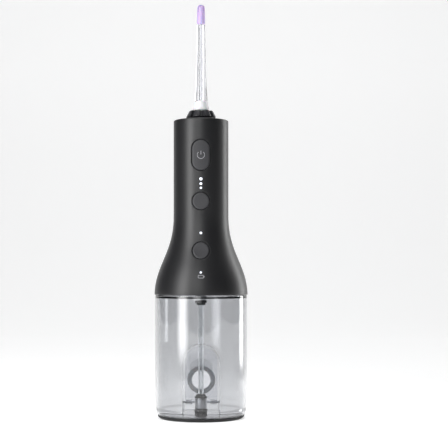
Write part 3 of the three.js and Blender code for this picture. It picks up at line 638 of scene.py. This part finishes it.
def stroke(points, height, width, rise, flatness=0.0, closed=False):
    """A printed line along [x, z] points about a height, as a thin closed ribbon on the skin."""
    form = bmesh.new()
    rings = []
    count = len(points)
    for i, (x, z) in enumerate(points):
        ahead = points[(i + 1) % count] if closed or i + 1 < count else points[i]
        behind = points[i - 1] if closed or i else points[i]
        length = math.hypot(ahead[0] - behind[0], ahead[1] - behind[1])
        nx, nz = (behind[1] - ahead[1]) / length, (ahead[0] - behind[0]) / length
        ring = []
        for way, level in ((-1, -0.02), (1, -0.02), (1, INK_THICKNESS), (-1, INK_THICKNESS)):
            px, pz = x + way * nx * width / 2, z + way * nz * width / 2
            radius = skin_radius(height + pz) + rise + level
            depth = math.sqrt(radius ** 2 - px ** 2)
            depth += flatness * (radius - depth)
            ring.append(form.verts.new((px, -depth, height + pz)))
        rings.append(ring)
    loft(form, rings, closed=closed)
    if not closed:
        form.faces.new(rings[0])
        form.faces.new(rings[-1])
    return piece("stroke", form)


# Pad-printing ink, a soft grey: matt, with the slight unevenness of a thin print.
grey_ink = moulded("pad_printed_grey_ink", "9A9A9F", 0.5, 0.15, 0.004, mottle=0.12)

ICON_RISE = KEY_RISE - 0.15
arc = [(2.6 * math.sin(math.radians(a)), 2.6 * math.cos(math.radians(a))) for a in range(42, 320, 6)]
bar = [(0, 3.0 - 0.4 * k) for k in range(8)]
power_symbol = gathered(
    "power_symbol_print", stroke(arc, POWER_HEIGHT, INK_LINE, ICON_RISE, 0.35),
    stroke(bar, POWER_HEIGHT, INK_LINE, ICON_RISE, 0.35),
)
power_symbol.data.materials.append(grey_ink)
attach(power_symbol, "power_key")

cell = rounded([(-1.9, -0.95), (1.9, -0.95), (1.9, 0.95), (-1.9, 0.95)], 0.5)
battery_symbol = gathered(
    "battery_symbol_print",
    stroke(divided(cell, 0.5), 102.9, 0.3, 0, closed=True),
    stroke([(2.35, -0.35), (2.35, 0), (2.35, 0.35)], 102.9, 0.35, 0),
)
battery_symbol.data.materials.append(grey_ink)
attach(battery_symbol, "handle")

# ---------------------------------------------------------------- lights
# Light pipes of frosted acrylic pushed into the shell from behind: three on one carrier show the
# intensity, one the mode and one the battery. They glow white from the lamps on the boards.

LAMP_FACE = 11.6
BATTERY_LAMP_FACE = 25.9


def glowing_acrylic(name, colour, glow):
    """A diffusing light pipe that glows evenly in its colour."""
    material, tree = new_material(name)
    place = add(tree, "ShaderNodeTexCoord").outputs["Object"]
    speckle = add(tree, "ShaderNodeTexNoise", {"Vector": place, "Scale": 1 / (0.3 * MM), "Detail": 2})
    dull = add(tree, "ShaderNodeMapRange", {
        "Value": speckle.outputs["Fac"], "To Min": 0.25, "To Max": 0.4,
    })
    body = add(tree, "ShaderNodeBsdfPrincipled", {
        "Base Color": linear(colour), "Roughness": dull.outputs["Result"],
        "Emission Color": linear(colour), "Emission Strength": glow,
    })
    add(tree, "ShaderNodeOutputMaterial", {"Surface": body.outputs["BSDF"]})
    return material


# Frosted acrylic lit from behind: a clean, faintly blue white that outshines the dark shell.
lit_acrylic = glowing_acrylic("lit_frosted_acrylic", "DDE2EC", 0.75)


def light_pipe(height, radius, back):
    """One light pipe: a low dome outside, and a straight rod back to the lamp."""
    dome = on_skin("light_dome", (2 * radius, 2 * radius), height, [
        (0, -1.5), (0, -0.05), (0.1, 0.06), (0.3, 0.12),
    ], dish=-0.08, face_rings=4)
    front = skin_radius(height) - 1.2
    return gathered("light_pipe", dome, rod("light_rod", radius, -back, -front, 24, (0, height), "Y"))


carrier = slab("light_carrier", -2.2, 2.2, -17.4, -16.4, 164, 175, 0.2)
intensity_lights = gathered(
    "intensity_light_pipes", carrier, *[light_pipe(z, r, LAMP_FACE) for z, r in INTENSITY_LIGHTS],
)
fit(intensity_lights, "handle", lit_acrylic, "light_pipe", "intensity_lights")
mode_light = gathered(
    "mode_light_pipe", light_pipe(*MODE_LIGHT, LAMP_FACE),
    rod("mode_light_lip", 1.8, -18.6, -17.7, 24, (0, MODE_LIGHT[0]), "Y"),
)
fit(mode_light, "handle", lit_acrylic, "light_pipe", "mode_light")
battery_light = gathered(
    "battery_light_pipe", light_pipe(*BATTERY_LIGHT, BATTERY_LAMP_FACE),
    rod("battery_light_lip", 1.6, -28.2, -27.3, 24, (0, BATTERY_LIGHT[0]), "Y"),
)
fit(battery_light, "handle", lit_acrylic, "light_pipe", "battery_light")

# ---------------------------------------------------------------- back of the handle
# The nozzle release is a ribbed ABS key near the top of the back. Below it a soft TPE flap
# closes the charging socket; it folds down on a strap hinge and has a raised lip for a fingernail.

PLUG_STRETCH = 4

# Black TPE, moulded: matt and slightly dusty, with a coarse eroded grain of about 0.4 mm.
soft_tpe = moulded("black_moulded_tpe", "0F0F10", 0.6, 0.4, 0.02, mottle=0.1)

release_cap = key("release_face", RELEASE_SIZE, RELEASE_HEIGHT, RELEASE_PLUNGER, side=1)
grips = [
    on_skin("release_rib", (6.4, 0.6), RELEASE_HEIGHT + step, [(0, 0), (0, 0.4), (0.12, 0.5)], 1)
    for step in (-1.4, 0, 1.4)
]
release_key = gathered("release_key_cap", release_cap, *grips)
fit(release_key, "release_key", key_abs_painted_lighter, "matte_black", "release_button")

flap = on_skin("port_flap", PORT_SIZE, PORT_HEIGHT, [
    (0, -0.7), (0, -0.25), (0.1, -0.08), (0.3, 0),
], 1)
tab = on_skin("port_flap_strap", (5.2, 1.6), 150.9, [(0, -0.7), (0, -0.1), (0.1, 0)], 1)
nail_lip = on_skin("port_flap_lip", (5, 0.9), PORT_HEIGHT + 2.4, [(0, -0.3), (0, 0.2), (0.15, 0.32)], 1)
stopper = rod("port_flap_plug", 0.9, 17.6, 19.6, 24, (0, PORT_HEIGHT), "Y")
for vertex in stopper.data.vertices:
    vertex.co.x *= PLUG_STRETCH
port_cover = gathered("charging_port_flap", flap, tab, nail_lip, stopper)
fit(port_cover, "port_cover", soft_tpe, "black_rubber", "charging_port_cover")

# ---------------------------------------------------------------- rotation knob
# A black ABS knob that turns the nozzle: a hub in the top cap, and above it a low cone with eight
# wide facets between narrow finger slots.

KNOB_LOBES = 8
KNOB_TOP = 223.7
KNOB_FIRST = 29
LOBE_HALF_ANGLE = 13.5
LOBE_MIDDLE = (8.3, 221)
LOBE_STEPS = 14

# Black ABS from a polished tool: deep black with a soft gloss that greys its facets.
gloss_abs = moulded("black_polished_abs", "2B2B2E", 0.3, 1.2, 0.004, mottle=0.05, coat=0.1)

hub = turned("knob_hub", rounded([
    (4.4, 212), (6, 212), (6, 212.4, 0), (5.3, 212.4, 0), (5.3, 213.6, 0), (6, 213.6, 0), (6, 218.3),
    (7.9, 218.5, 0.3), (8.3, 219.2, 0.4), (7.1, KNOB_TOP - 0.6, 0.4), (6.7, KNOB_TOP - 0.1, 0.3),
    (4.4, KNOB_TOP - 0.1, 0.3),
], 0.1), 96)
lobe_outline = rounded([
    (6.8, 218.6), (10.4, 218.5, 0.3), (11.05, 219.2, 0.4), (8.7, KNOB_TOP - 0.1, 0.6),
    (7.9, KNOB_TOP, 0.2), (6.4, KNOB_TOP, 0),
], 0.1)


def knob_lobe(outline):
    """One facet: the cone's outline swept through its share of the round, its two sides drawn in."""
    form = bmesh.new()
    rings = []
    middle_radius, middle_height = LOBE_MIDDLE
    for k in range(LOBE_STEPS + 1):
        across = -1 + 2 * k / LOBE_STEPS
        edge = abs(across) ** 10
        angle = math.radians(LOBE_HALF_ANGLE * across)
        ring = []
        for radius, height in outline:
            reach = middle_radius + (radius - middle_radius) * (1 - 0.3 * edge)
            level = middle_height + (height - middle_height) * (1 - 0.06 * edge)
            ring.append(form.verts.new((reach * math.cos(angle), reach * math.sin(angle), level)))
        rings.append(ring)
    loft(form, rings, closed=False)
    form.faces.new(rings[0])
    form.faces.new(rings[-1])
    return piece("knob_lobe", form, 40)


lobes = ring_of(knob_lobe(lobe_outline), KNOB_LOBES, gloss_abs, KNOB_FIRST)
knob = gathered("rotation_knob_body", hub, lobes)
fit(knob, "knob", gloss_abs, "gloss_black", "rotation_knob")

# ---------------------------------------------------------------- nozzle
# A jet nozzle in three mouldings: a frosted white base whose stem locks in the knob, a long clear
# tapered tube, and a soft lavender tip slit in a cross. The end leans forward in an arc.

BEND_START = 285
BEND_RADIUS = 24
SHAFT_TOP = 286.6
TIP_END = 300.6
TIP_SLITS = 4
SLIT_FIRST = 45


def lean(made):
    """Leans everything above BEND_START towards the front along an arc."""
    for vertex in made.data.vertices:
        x, y, z = (c / MM for c in vertex.co)
        if z > BEND_START:
            angle = (z - BEND_START) / BEND_RADIUS
            reach = BEND_RADIUS + y
            y, z = reach * math.cos(angle) - BEND_RADIUS, BEND_START + reach * math.sin(angle)
            vertex.co = (x * MM, y * MM, z * MM)
    return made


# Polypropylene, natural white, with a light frost: soft gloss, light enters it a little.
frosted_pp = moulded(
    "white_frosted_polypropylene", "D9DADD", 0.32, 0.3, 0.006, mottle=0.02, subsurface=0.15,
)
# Clear polycarbonate: polished, nearly colourless, flow ripples about 4 mm long.
clear_pc = clear_plastic("clear_moulded_polycarbonate", "F0F1F4", 0.04, 1.58, 4.0, 0.004)
# Soft TPE dyed lavender: satin, slightly see-through at its edges.
lavender_tpe = moulded(
    "lavender_soft_tpe", "B7A4D2", 0.38, 0.4, 0.008, mottle=0.06, subsurface=0.35,
)

nozzle_base = turned("nozzle_base_collar", rounded([
    (1.5, 203), (3.4, 203, 0.2), (4, 204), (4, 224, 0), (6, 224, 0.35), (6, 225.4, 0.5), (5.3, 228, 2),
    (4.9, 230.5, 0.3), (1.5, 230.5),
], 0.1), 80)
fit(nozzle_base, "nozzle", frosted_pp, "frosted_white", "nozzle_base")

shaft_outline = divided(rounded([
    (1.2, 230.8, 0.05), (4.8, 230.8, 0.3), (4.5, 235, 20), (4.1, 241, 30), (3.75, 249, 40),
    (3.45, 260, 40), (3.2, 274, 40), (3.05, BEND_START, 20), (3.0, SHAFT_TOP, 0.2), (1.2, SHAFT_TOP, 0.05),
], 0.1, steps=3), 1.2)
nozzle_shaft = lean(turned("nozzle_shaft_tube", shaft_outline, 64))
fit(nozzle_shaft, "nozzle", clear_pc, "clear_plastic", "nozzle_shaft")

tip_low = SHAFT_TOP + 0.3
nozzle_tip = turned("nozzle_tip_sleeve", divided(rounded([
    (1.2, tip_low, 0.05), (3.05, tip_low, 0.2), (3.0, tip_low + 5, 8), (2.9, tip_low + 10, 8),
    (2.6, TIP_END - 0.8, 0.8), (1.9, TIP_END, 0.6), (0.8, TIP_END, 0.15), (0.8, tip_low + 2, 0),
], 0.1), 0.8), 64)
slit = slab("slit", 0.2, 4, -0.24, 0.24, TIP_END - 4, TIP_END + 1)
shaped(nozzle_tip, "DIFFERENCE", ring_of(slit, TIP_SLITS, lavender_tpe, SLIT_FIRST))
lean(nozzle_tip)
fit(nozzle_tip, "nozzle", lavender_tpe, "lavender_soft", "nozzle_tip")

# ---------------------------------------------------------------- pump deck and hose connector
# The deck is a grey PP plate under the pump, held by three screws. Its spigot passes down into the
# tank, and a black connector with two finger wings clips the hose on it.

SOCKET_RADIUS = 3.2

# Grey glass-filled polypropylene: satin, an even mid grey.
grey_pp = moulded("grey_moulded_polypropylene", "9A9DA1", 0.42, 0.3, 0.01, mottle=0.04)

pump_deck = turned("pump_deck_plate", rounded([
    (0, 97.9), (30.2, 97.9, 0.3), (30.2, 100.8, 0.3), (0, 100.8),
], 0.2, closed=False), 96)
spigot = turned("deck_spigot", rounded([
    (0, 86.5), (3.9, 86.5, 0.3), (3.9, 98.5, 0), (0, 98.5),
], 0.2, closed=False), 48, (0, HOSE_Y))
upper = turned("deck_upper_spigot", rounded([
    (0, 100.2), (4, 100.2, 0), (4, 104.6, 0.3), (0, 104.6),
], 0.2, closed=False), 48, (0, HOSE_Y))
shaped(pump_deck, "UNION", gathered("spigots", spigot, upper))
screw_seats = ring_of(turned("screw_seat", [
    (0, 97), (2.6, 97), (2.6, 99.5), (1.4, 99.5), (1.4, 102), (0, 102),
], 32, SCREW_CIRCLE), DECK_SCREWS, grey_pp, SCREW_FIRST)
spigot_bore = rod("spigot_bore", 1.2, 86, 103.5, 24, (0, HOSE_Y))
shaped(pump_deck, "DIFFERENCE", gathered("deck_channels", spigot_bore, screw_seats))
shaped(pump_deck, "DIFFERENCE", rod("side_port", 0.9, 0.3, 6, 20, (HOSE_Y, 102.4), "X"))
fit(pump_deck, "handle", grey_pp, "grey_plastic", "pump_deck")

socket = turned("connector_socket", rounded([
    (1.2, 85.5), (2.6, 85.5, 0.1), (2.6, 82.7, 0.15), (SOCKET_RADIUS, 82.7, 0.25),
    (SOCKET_RADIUS, 86.2, 0.25), (1.2, 86.2),
], 0.1), 56, (0, HOSE_Y))
wings = [
    slab("wing", x - 0.9, x + 0.9, HOSE_Y - 1.1, HOSE_Y + 1.1, 84.2, 86, 0.35)
    for x in (-SOCKET_RADIUS, SOCKET_RADIUS)
]
hose_connector = gathered("hose_connector_cap", socket, *wings)
fit(hose_connector, "handle", satin_pom, "black_rubber", "hose_connector")

# ---------------------------------------------------------------- water tank
# A round tank of clear injection-moulded SAN with 2.2 mm walls. Its neck has three lugs that
# turn under the skirt's ledges, and a pocket in its back wall holds the fill door.

TANK_RADIUS = 33.5
TANK_INNER = 31.3
POCKET_HALF = 12.6
POCKET_LOW = 3.7
POCKET_FACE = 27
POCKET_WALL = 1.9
POCKET_SHOULDER = ((1.7, 0), (1.0, 0.15), (0.5, 0.5), (0.15, 1.0), (0, 1.7))
ARCH_CENTRE = 38
FILL_HEIGHT = 25.2
DOOR_AXIS = (28.7, 8.8)
PIN_RADIUS = 0.8
PIN_REACH = 14

# Clear SAN with a light smoke tint: polished, grey where its wall is seen edge on, flow ripples
# about 12 mm long.
clear_san = clear_plastic("smoke_tinted_moulded_san", "D8D9DB", 0.03, 1.56, 12.0, 0.01)


def arch(half, low):
    """Upright sides from low to the arch's centre, then half a circle."""
    arc, run = 32, 9
    curve = [(half * math.cos(math.pi * k / arc), ARCH_CENTRE + half * math.sin(math.pi * k / arc))
             for k in range(arc + 1)]
    sides = [low + (ARCH_CENTRE - low) * k / run for k in range(run)]
    return [(half, z) for z in sides] + curve + [(-half, z) for z in reversed(sides)]


def prism(name, outlines):
    """A solid through outlines in X and Z of equal length, each at its own place along Y."""
    form = bmesh.new()
    rings = [[form.verts.new((x, y, z)) for x, z in outline] for y, outline in outlines]
    loft(form, rings, closed=False)
    form.faces.new(rings[0])
    form.faces.new(rings[-1])
    return piece(name, form)


tank_outline = divided(rounded([
    (0, 0.7), (26.7, 0.7), (26.7, 1.1), (28.6, 1.1, 0.3), (29.3, 2.7, 0.3), (32, 2.7, 0.4),
    (32.5, 4.2, 3), (33.3, 7.6, 12), (TANK_RADIUS, 14, 10), (TANK_RADIUS, 89.4, 0.5), (30.4, 89.4, 0.4),
    (30.4, 96, 0.3), (28.4, 96, 0.3), (28.4, 88.2, 0.3), (TANK_INNER, 87.4, 0.3), (TANK_INNER, 6.2, 9),
    (30.6, 2.4, 2.6), (0, 2.4),
], 0.15, closed=False, steps=6), 5, closed=False)
water_tank = turned("water_tank_shell", tank_outline, 160)
wall_front = POCKET_FACE - POCKET_WALL
wall_half = POCKET_HALF + POCKET_WALL
pocket_wall = prism("pocket_wall", [
    (wall_front + back, arch(wall_half - inset, 1.4)) for inset, back in POCKET_SHOULDER
] + [(36, arch(wall_half, 1.4))])
shaped(pocket_wall, "INTERSECT", turned("pocket_limit", [
    (0, 1.4), (28.5, 1.4), (29.2, 2.9), (31.9, 2.9), (33, 7.2), (33.1, 14), (33.1, 60), (0, 60),
], 160))
shaped(water_tank, "UNION", pocket_wall)
lug = sector("tank_lug", 29.8, 31.3, 12, 92.5, 94.5)
shaped(water_tank, "UNION", ring_of(lug, BAYONET_LUGS, clear_san, BAYONET_FIRST))
shaped(water_tank, "DIFFERENCE", prism("pocket", [
    (y, arch(POCKET_HALF, POCKET_LOW)) for y in (POCKET_FACE, 40)
]))
shaped(water_tank, "DIFFERENCE", turned("fill_port", [
    (0, 20), (7, 20), (7, POCKET_FACE - 0.3), (7.5, POCKET_FACE + 0.2), (0, POCKET_FACE + 0.2),
], 72, (0, FILL_HEIGHT), "Y"))
shaped(water_tank, "DIFFERENCE", rod("pin_hole", PIN_RADIUS, -PIN_REACH, PIN_REACH, 24, DOOR_AXIS, "X"))
fit(water_tank, "tank", clear_san, "clear_plastic", "water_tank")

# ---------------------------------------------------------------- tank foot
# A ring of black TPE snapped round the tank's base, so that it stands quietly and doesn't slip.

tank_foot = turned("tank_foot_ring", rounded([
    (27, 0, 0.2), (27.5, 0, 0.1), (27.7, 0.2, 0.1), (28, 0.2, 0.1), (28.2, 0, 0.1), (29.8, 0, 0.5),
    (31.3, 1.06, 1.2), (31.8, 2.4, 0.3), (29.6, 2.4, 0.15), (28.9, 0.8, 0.2), (27, 0.8, 0.2),
], 0.1), 128)
fit(tank_foot, "tank", soft_tpe, "black_rubber", "tank_foot")

# ---------------------------------------------------------------- fill door
# A clear polycarbonate flap that continues the tank's round back, hinged on a steel pin along its lower
# edge. A silicone ring in its seat seals the port, and a frosted crescent takes the finger.

DOOR_HALF = 12.2
DOOR_LOW = 7.6
DOOR_OUTER = 33.4
DOOR_INNER = 31.4
GRIP_OFFSET = 5.5
GRIP_RING = 10.2
PAD_FACE = 32.2
ARM_PLACE = 9.5
ARM_HALF = 1.6
KNUCKLE_HALF = 2.3
KNUCKLE_RADIUS = 1.5

fill_door = prism("fill_door_flap", [(y, arch(DOOR_HALF, DOOR_LOW)) for y in (24, 36)])
door_skin = turned("door_skin", divided(rounded([
    (DOOR_INNER, 2), (DOOR_OUTER, 2), (DOOR_OUTER, 56), (DOOR_INNER, 56),
], 0.1), 4), 160)
shaped(fill_door, "INTERSECT", door_skin)
finger_pad = rod("finger_pad", GRIP_RING, PAD_FACE, 36, 72, (0, FILL_HEIGHT + GRIP_OFFSET), "Y")
seat_land = rod("seat_land", GRIP_RING, 30, 37, 72, (0, FILL_HEIGHT), "Y")
shaped(finger_pad, "DIFFERENCE", seat_land)
shaped(fill_door, "DIFFERENCE", finger_pad)
collar = turned("door_collar", rounded([
    (8.2, 29.6), (10, 29.6), (10, 32, 0), (8.2, 32, 0),
], 0.2), 72, (0, FILL_HEIGHT), "Y")
shaped(fill_door, "UNION", collar)
hinge_y, hinge_z = DOOR_AXIS
for x in (-ARM_PLACE, ARM_PLACE):
    arm = slab("door_arm", x - ARM_HALF, x + ARM_HALF, hinge_y, 32, hinge_z - 0.9, hinge_z + 0.9)
    shaped(fill_door, "UNION", arm)
    low, high = x - KNUCKLE_HALF, x + KNUCKLE_HALF
    knuckle = turned("door_knuckle", rounded([
        (0, low), (KNUCKLE_RADIUS, low, 0.2), (KNUCKLE_RADIUS, high, 0.2), (0, high),
    ], 0.05, closed=False), 32, DOOR_AXIS, "X")
    shaped(fill_door, "UNION", knuckle)
shaped(fill_door, "DIFFERENCE", rod("pin_bore", PIN_RADIUS, -PIN_REACH, PIN_REACH, 24, DOOR_AXIS, "X"))
fit(fill_door, "door", clear_pc, "clear_plastic", "fill_door")

# The finger pad keeps the tool's spark-eroded face, so it is frosted where the rest is polished.
frosted_pc = clear_plastic("frosted_moulded_polycarbonate", "C0C2C5", 0.55, 1.58, 0.6, 0.05)
fill_door.data.materials.append(frosted_pc)
for face in fill_door.data.polygons:
    over_seat = face.center.z > FILL_HEIGHT * MM and abs(face.center.y / MM - PAD_FACE) < 0.05
    if over_seat and face.normal.y > 0.99:
        face.material_index = 1

# Silicone, grey and cloudy: satin, light passes into its edges.
grey_silicone = moulded("grey_moulded_silicone", "A6A9AD", 0.5, 0.5, 0.01, mottle=0.08, subsurface=0.2)
door_seal = turned("fill_door_seal_ring", rounded([
    (7.4, 27.4, 0.3), (8.6, 27.3, 0.3), (8.9, 27.9, 0.2), (9.2, 27.3, 0.3), (10.6, 27.4, 0.3),
    (10.6, 29.3, 0.3), (7.4, 29.3, 0.3),
], 0.2), 96, (0, FILL_HEIGHT), "Y")
fit(door_seal, "door", grey_silicone, "silicone", "fill_door_seal")

# ---------------------------------------------------------------- parts inside the handle
# The works keep their made shapes and take the finish of what they are: nylon and steel drive
# parts, a wound armature, green boards, a shrink-wrapped cell, silicone tubes and rubber seals.


def printed_board():
    """Glass-epoxy board under green solder mask, with faint tracks on a 2.5 mm grid."""
    material, tree = new_material("green_glass_epoxy_board")
    place = add(tree, "ShaderNodeTexCoord").outputs["Object"]
    turned_place = add(tree, "ShaderNodeMapping", {"Vector": place, "Rotation": (math.radians(90), 0, 0)})
    tracks = add(tree, "ShaderNodeTexBrick", {
        "Vector": turned_place.outputs["Vector"], "Scale": 1.0, "Mortar Size": 0.25 * MM,
        "Brick Width": 6 * MM, "Row Height": 2.5 * MM, "Color1": linear("175236"),
        "Color2": linear("1B5C3D"), "Mortar": linear("2F8157"),
    })
    edge = add(tree, "ShaderNodeBump", {
        "Height": tracks.outputs["Fac"], "Strength": 0.3, "Distance": 0.03 * MM,
    })
    weave = add(tree, "ShaderNodeTexNoise", {"Vector": place, "Scale": 1 / (1.2 * MM)})
    dull = add(tree, "ShaderNodeMapRange", {"Value": weave.outputs["Fac"], "To Min": 0.28, "To Max": 0.42})
    body = add(tree, "ShaderNodeBsdfPrincipled", {
        "Base Color": tracks.outputs["Color"], "Roughness": dull.outputs["Result"],
        "Normal": edge.outputs["Normal"],
    })
    add(tree, "ShaderNodeOutputMaterial", {"Surface": body.outputs["BSDF"]})
    return material


# Natural nylon, moulded: warm off-white and a little see-through at thin edges.
nylon = moulded("natural_moulded_nylon", "E3DFD2", 0.42, 0.5, 0.01, mottle=0.03, subsurface=0.1)
# Nitrile rubber, moulded: a dead black that hardly shines.
nitrile = moulded("black_moulded_nitrile", "1B1B1C", 0.6, 0.3, 0.01)
# Shrunk PVC sleeve over the cell: glossy blue with slow waves about 2 mm apart.
cell_sleeve = moulded("blue_shrink_sleeve", "2C78AE", 0.3, 2.0, 0.03, mottle=0.08)
# Zinc-plated steel, drawn: a cool grey with fine lines 0.4 mm apart.
drawn_steel = worked_metal("drawn_zinc_plated_steel", "C3C6CA", 0.28, 0.4, 0.006)
# Brass, turned: warm yellow with tool lines 0.25 mm apart.
turned_brass = worked_metal("turned_brass", "C79C4A", 0.3, 0.25, 0.005)
# Enamelled copper wire 0.3 mm thick, wound about the shaft: warm, with a varnish sheen.
copper_winding = worked_metal("enamelled_copper_winding", "B4683A", 0.34, 0.3, 0.08)
# Silicone tube, extruded: milky, with light inside its wall.
milky_silicone = moulded(
    "translucent_silicone_tube", "C9CDD0", 0.45, 0.6, 0.01, mottle=0.04, subsurface=0.3,
)

for finish, names in (
    (printed_board(), ("circuit_board", "battery_light_board", "charging_board")),
    (nylon, ("gear_frame", "motor_end_cap", "drive_gear", "piston", "pump_body")),
    (grey_pp, ("chassis", "pump_head", "nozzle_socket")),
    (nitrile, ("keypad_membrane", "piston_seal", "inlet_valve", "outlet_valve", "socket_seal",
               "tank_gasket")),
    (drawn_steel, ("power_switch", "intensity_switch", "mode_switch", "charging_socket", "motor_can",
                   "motor_screw_left", "motor_screw_right", "gear_axle", "release_spring", "knob_clip",
                   "deck_screw_1", "deck_screw_2", "deck_screw_3", "fill_door_pin")),
    (turned_brass, ("motor_pinion",)),
    (copper_winding, ("motor_armature",)),
    (cell_sleeve, ("battery_cell",)),
    (milky_silicone, ("inlet_tube", "pressure_tube")),
):
    for name in names:
        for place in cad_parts[name].material_slots:
            place.material = finish

# ---------------------------------------------------------------- studio
# A white paper sweep under and behind the object, a soft box close by on the left, a narrow one
# behind on the right, weak ones in front and overhead, and dim surroundings.

SWEEP_HALF = 1.6
SWEEP_BACK = 1.5
SWEEP_FRONT = -1.2
SWEEP_TOP = 2.6
SWEEP_CURVE = 0.5
SWEEP_STEPS = 15


def paper(name, colour, glow):
    """Matt background paper: faint fibres, and an even glow that keeps it white to its far edges."""
    material, tree = new_material(name)
    place = add(tree, "ShaderNodeTexCoord").outputs["Object"]
    fibres = add(tree, "ShaderNodeTexNoise", {"Vector": place, "Scale": 1 / (1.5 * MM), "Detail": 2})
    dull = add(tree, "ShaderNodeMapRange", {"Value": fibres.outputs["Fac"], "To Min": 0.8, "To Max": 0.95})
    body = add(tree, "ShaderNodeBsdfPrincipled", {
        "Base Color": linear(colour), "Roughness": dull.outputs["Result"], "Specular IOR Level": 0.1,
        "Emission Color": linear(colour), "Emission Strength": glow,
    })
    add(tree, "ShaderNodeOutputMaterial", {"Surface": body.outputs["BSDF"]})
    return material


white_paper = paper("white_background_paper", "E4E4E4", 0.48)
bend = [math.radians(90 * k / SWEEP_STEPS) for k in range(SWEEP_STEPS + 1)]
sweep_line = [(SWEEP_FRONT, 0)] + [
    (SWEEP_BACK - SWEEP_CURVE + SWEEP_CURVE * math.sin(a), SWEEP_CURVE - SWEEP_CURVE * math.cos(a))
    for a in bend
] + [(SWEEP_BACK, SWEEP_TOP)]
form = bmesh.new()
rows = [
    [form.verts.new((x / MM, y / MM, z / MM)) for x in (-SWEEP_HALF, SWEEP_HALF)]
    for y, z in sweep_line
]
for low, high in zip(rows, rows[1:]):
    form.faces.new((low[0], low[1], high[1], high[0]))
sweep = piece("studio_sweep", form)
sweep.data.materials.append(white_paper)


def soft_box(name, place, aim, width, height, power, fade):
    """A diffused lamp, brightest at its middle: it fades over a share of its width at each side, and
    over a sixth of that share at its ends."""
    lamp = bpy.data.lights.new(name, "AREA")
    lamp.shape = "RECTANGLE"
    lamp.size, lamp.size_y, lamp.energy = width, height, power
    lamp.use_nodes = True
    tree = lamp.node_tree
    tree.nodes.clear()
    cloth_place = add(tree, "ShaderNodeNewGeometry").outputs["Parametric"]
    across = add(tree, "ShaderNodeSeparateXYZ", {0: cloth_place})
    shares = []
    for way, reach in (("X", fade), ("Y", fade / 6)):
        edge = add(tree, "ShaderNodeMath", {0: across.outputs[way], 1: 0.5}, operation="PINGPONG")
        shares.append(add(tree, "ShaderNodeMapRange", {
            "Value": edge.outputs[0], "From Max": reach,
        }, interpolation_type="SMOOTHSTEP").outputs["Result"])
    strength = add(tree, "ShaderNodeMath", {0: shares[0], 1: shares[1]}, operation="MULTIPLY")
    cloth = add(tree, "ShaderNodeEmission", {"Strength": strength.outputs[0]})
    add(tree, "ShaderNodeOutputLight", {"Surface": cloth.outputs["Emission"]})
    stand = bpy.data.objects.new(name, lamp)
    stand.location = place
    towards = [a - p for a, p in zip(aim, place)]
    yaw = math.atan2(towards[1], towards[0])
    pitch = math.atan2(towards[2], math.hypot(towards[0], towards[1]))
    stand.rotation_euler = (math.radians(90) + pitch, 0, yaw - math.radians(90))
    bpy.context.collection.objects.link(stand)


soft_box("left_soft_box", (-0.26, -0.26, 0.255), (0, 0, 0.255), 0.24, 0.5, 3.2, 0.45)
soft_box("front_fill", (-0.25, -1.5, 0.7), (0, 0, 0.15), 0.9, 1.3, 14, 0.45)
soft_box("right_strip", (0.3, 0.16, 0.255), (0, 0, 0.255), 0.11, 0.5, 1.3, 0.3)
soft_box("top_soft_box", (0, 0.1, 1.9), (0, 0, 0), 1.5, 1.5, 27, 0.3)

world = bpy.data.worlds.new("dim_studio")
world.use_nodes = True
world.node_tree.nodes.clear()
dim = add(world.node_tree, "ShaderNodeBackground", {"Color": linear("C9CBCE"), "Strength": 0.2})
add(world.node_tree, "ShaderNodeOutputWorld", {"Surface": dim.outputs["Background"]})
bpy.context.scene.world = world
bpy.context.scene.view_settings.view_transform = "Standard"
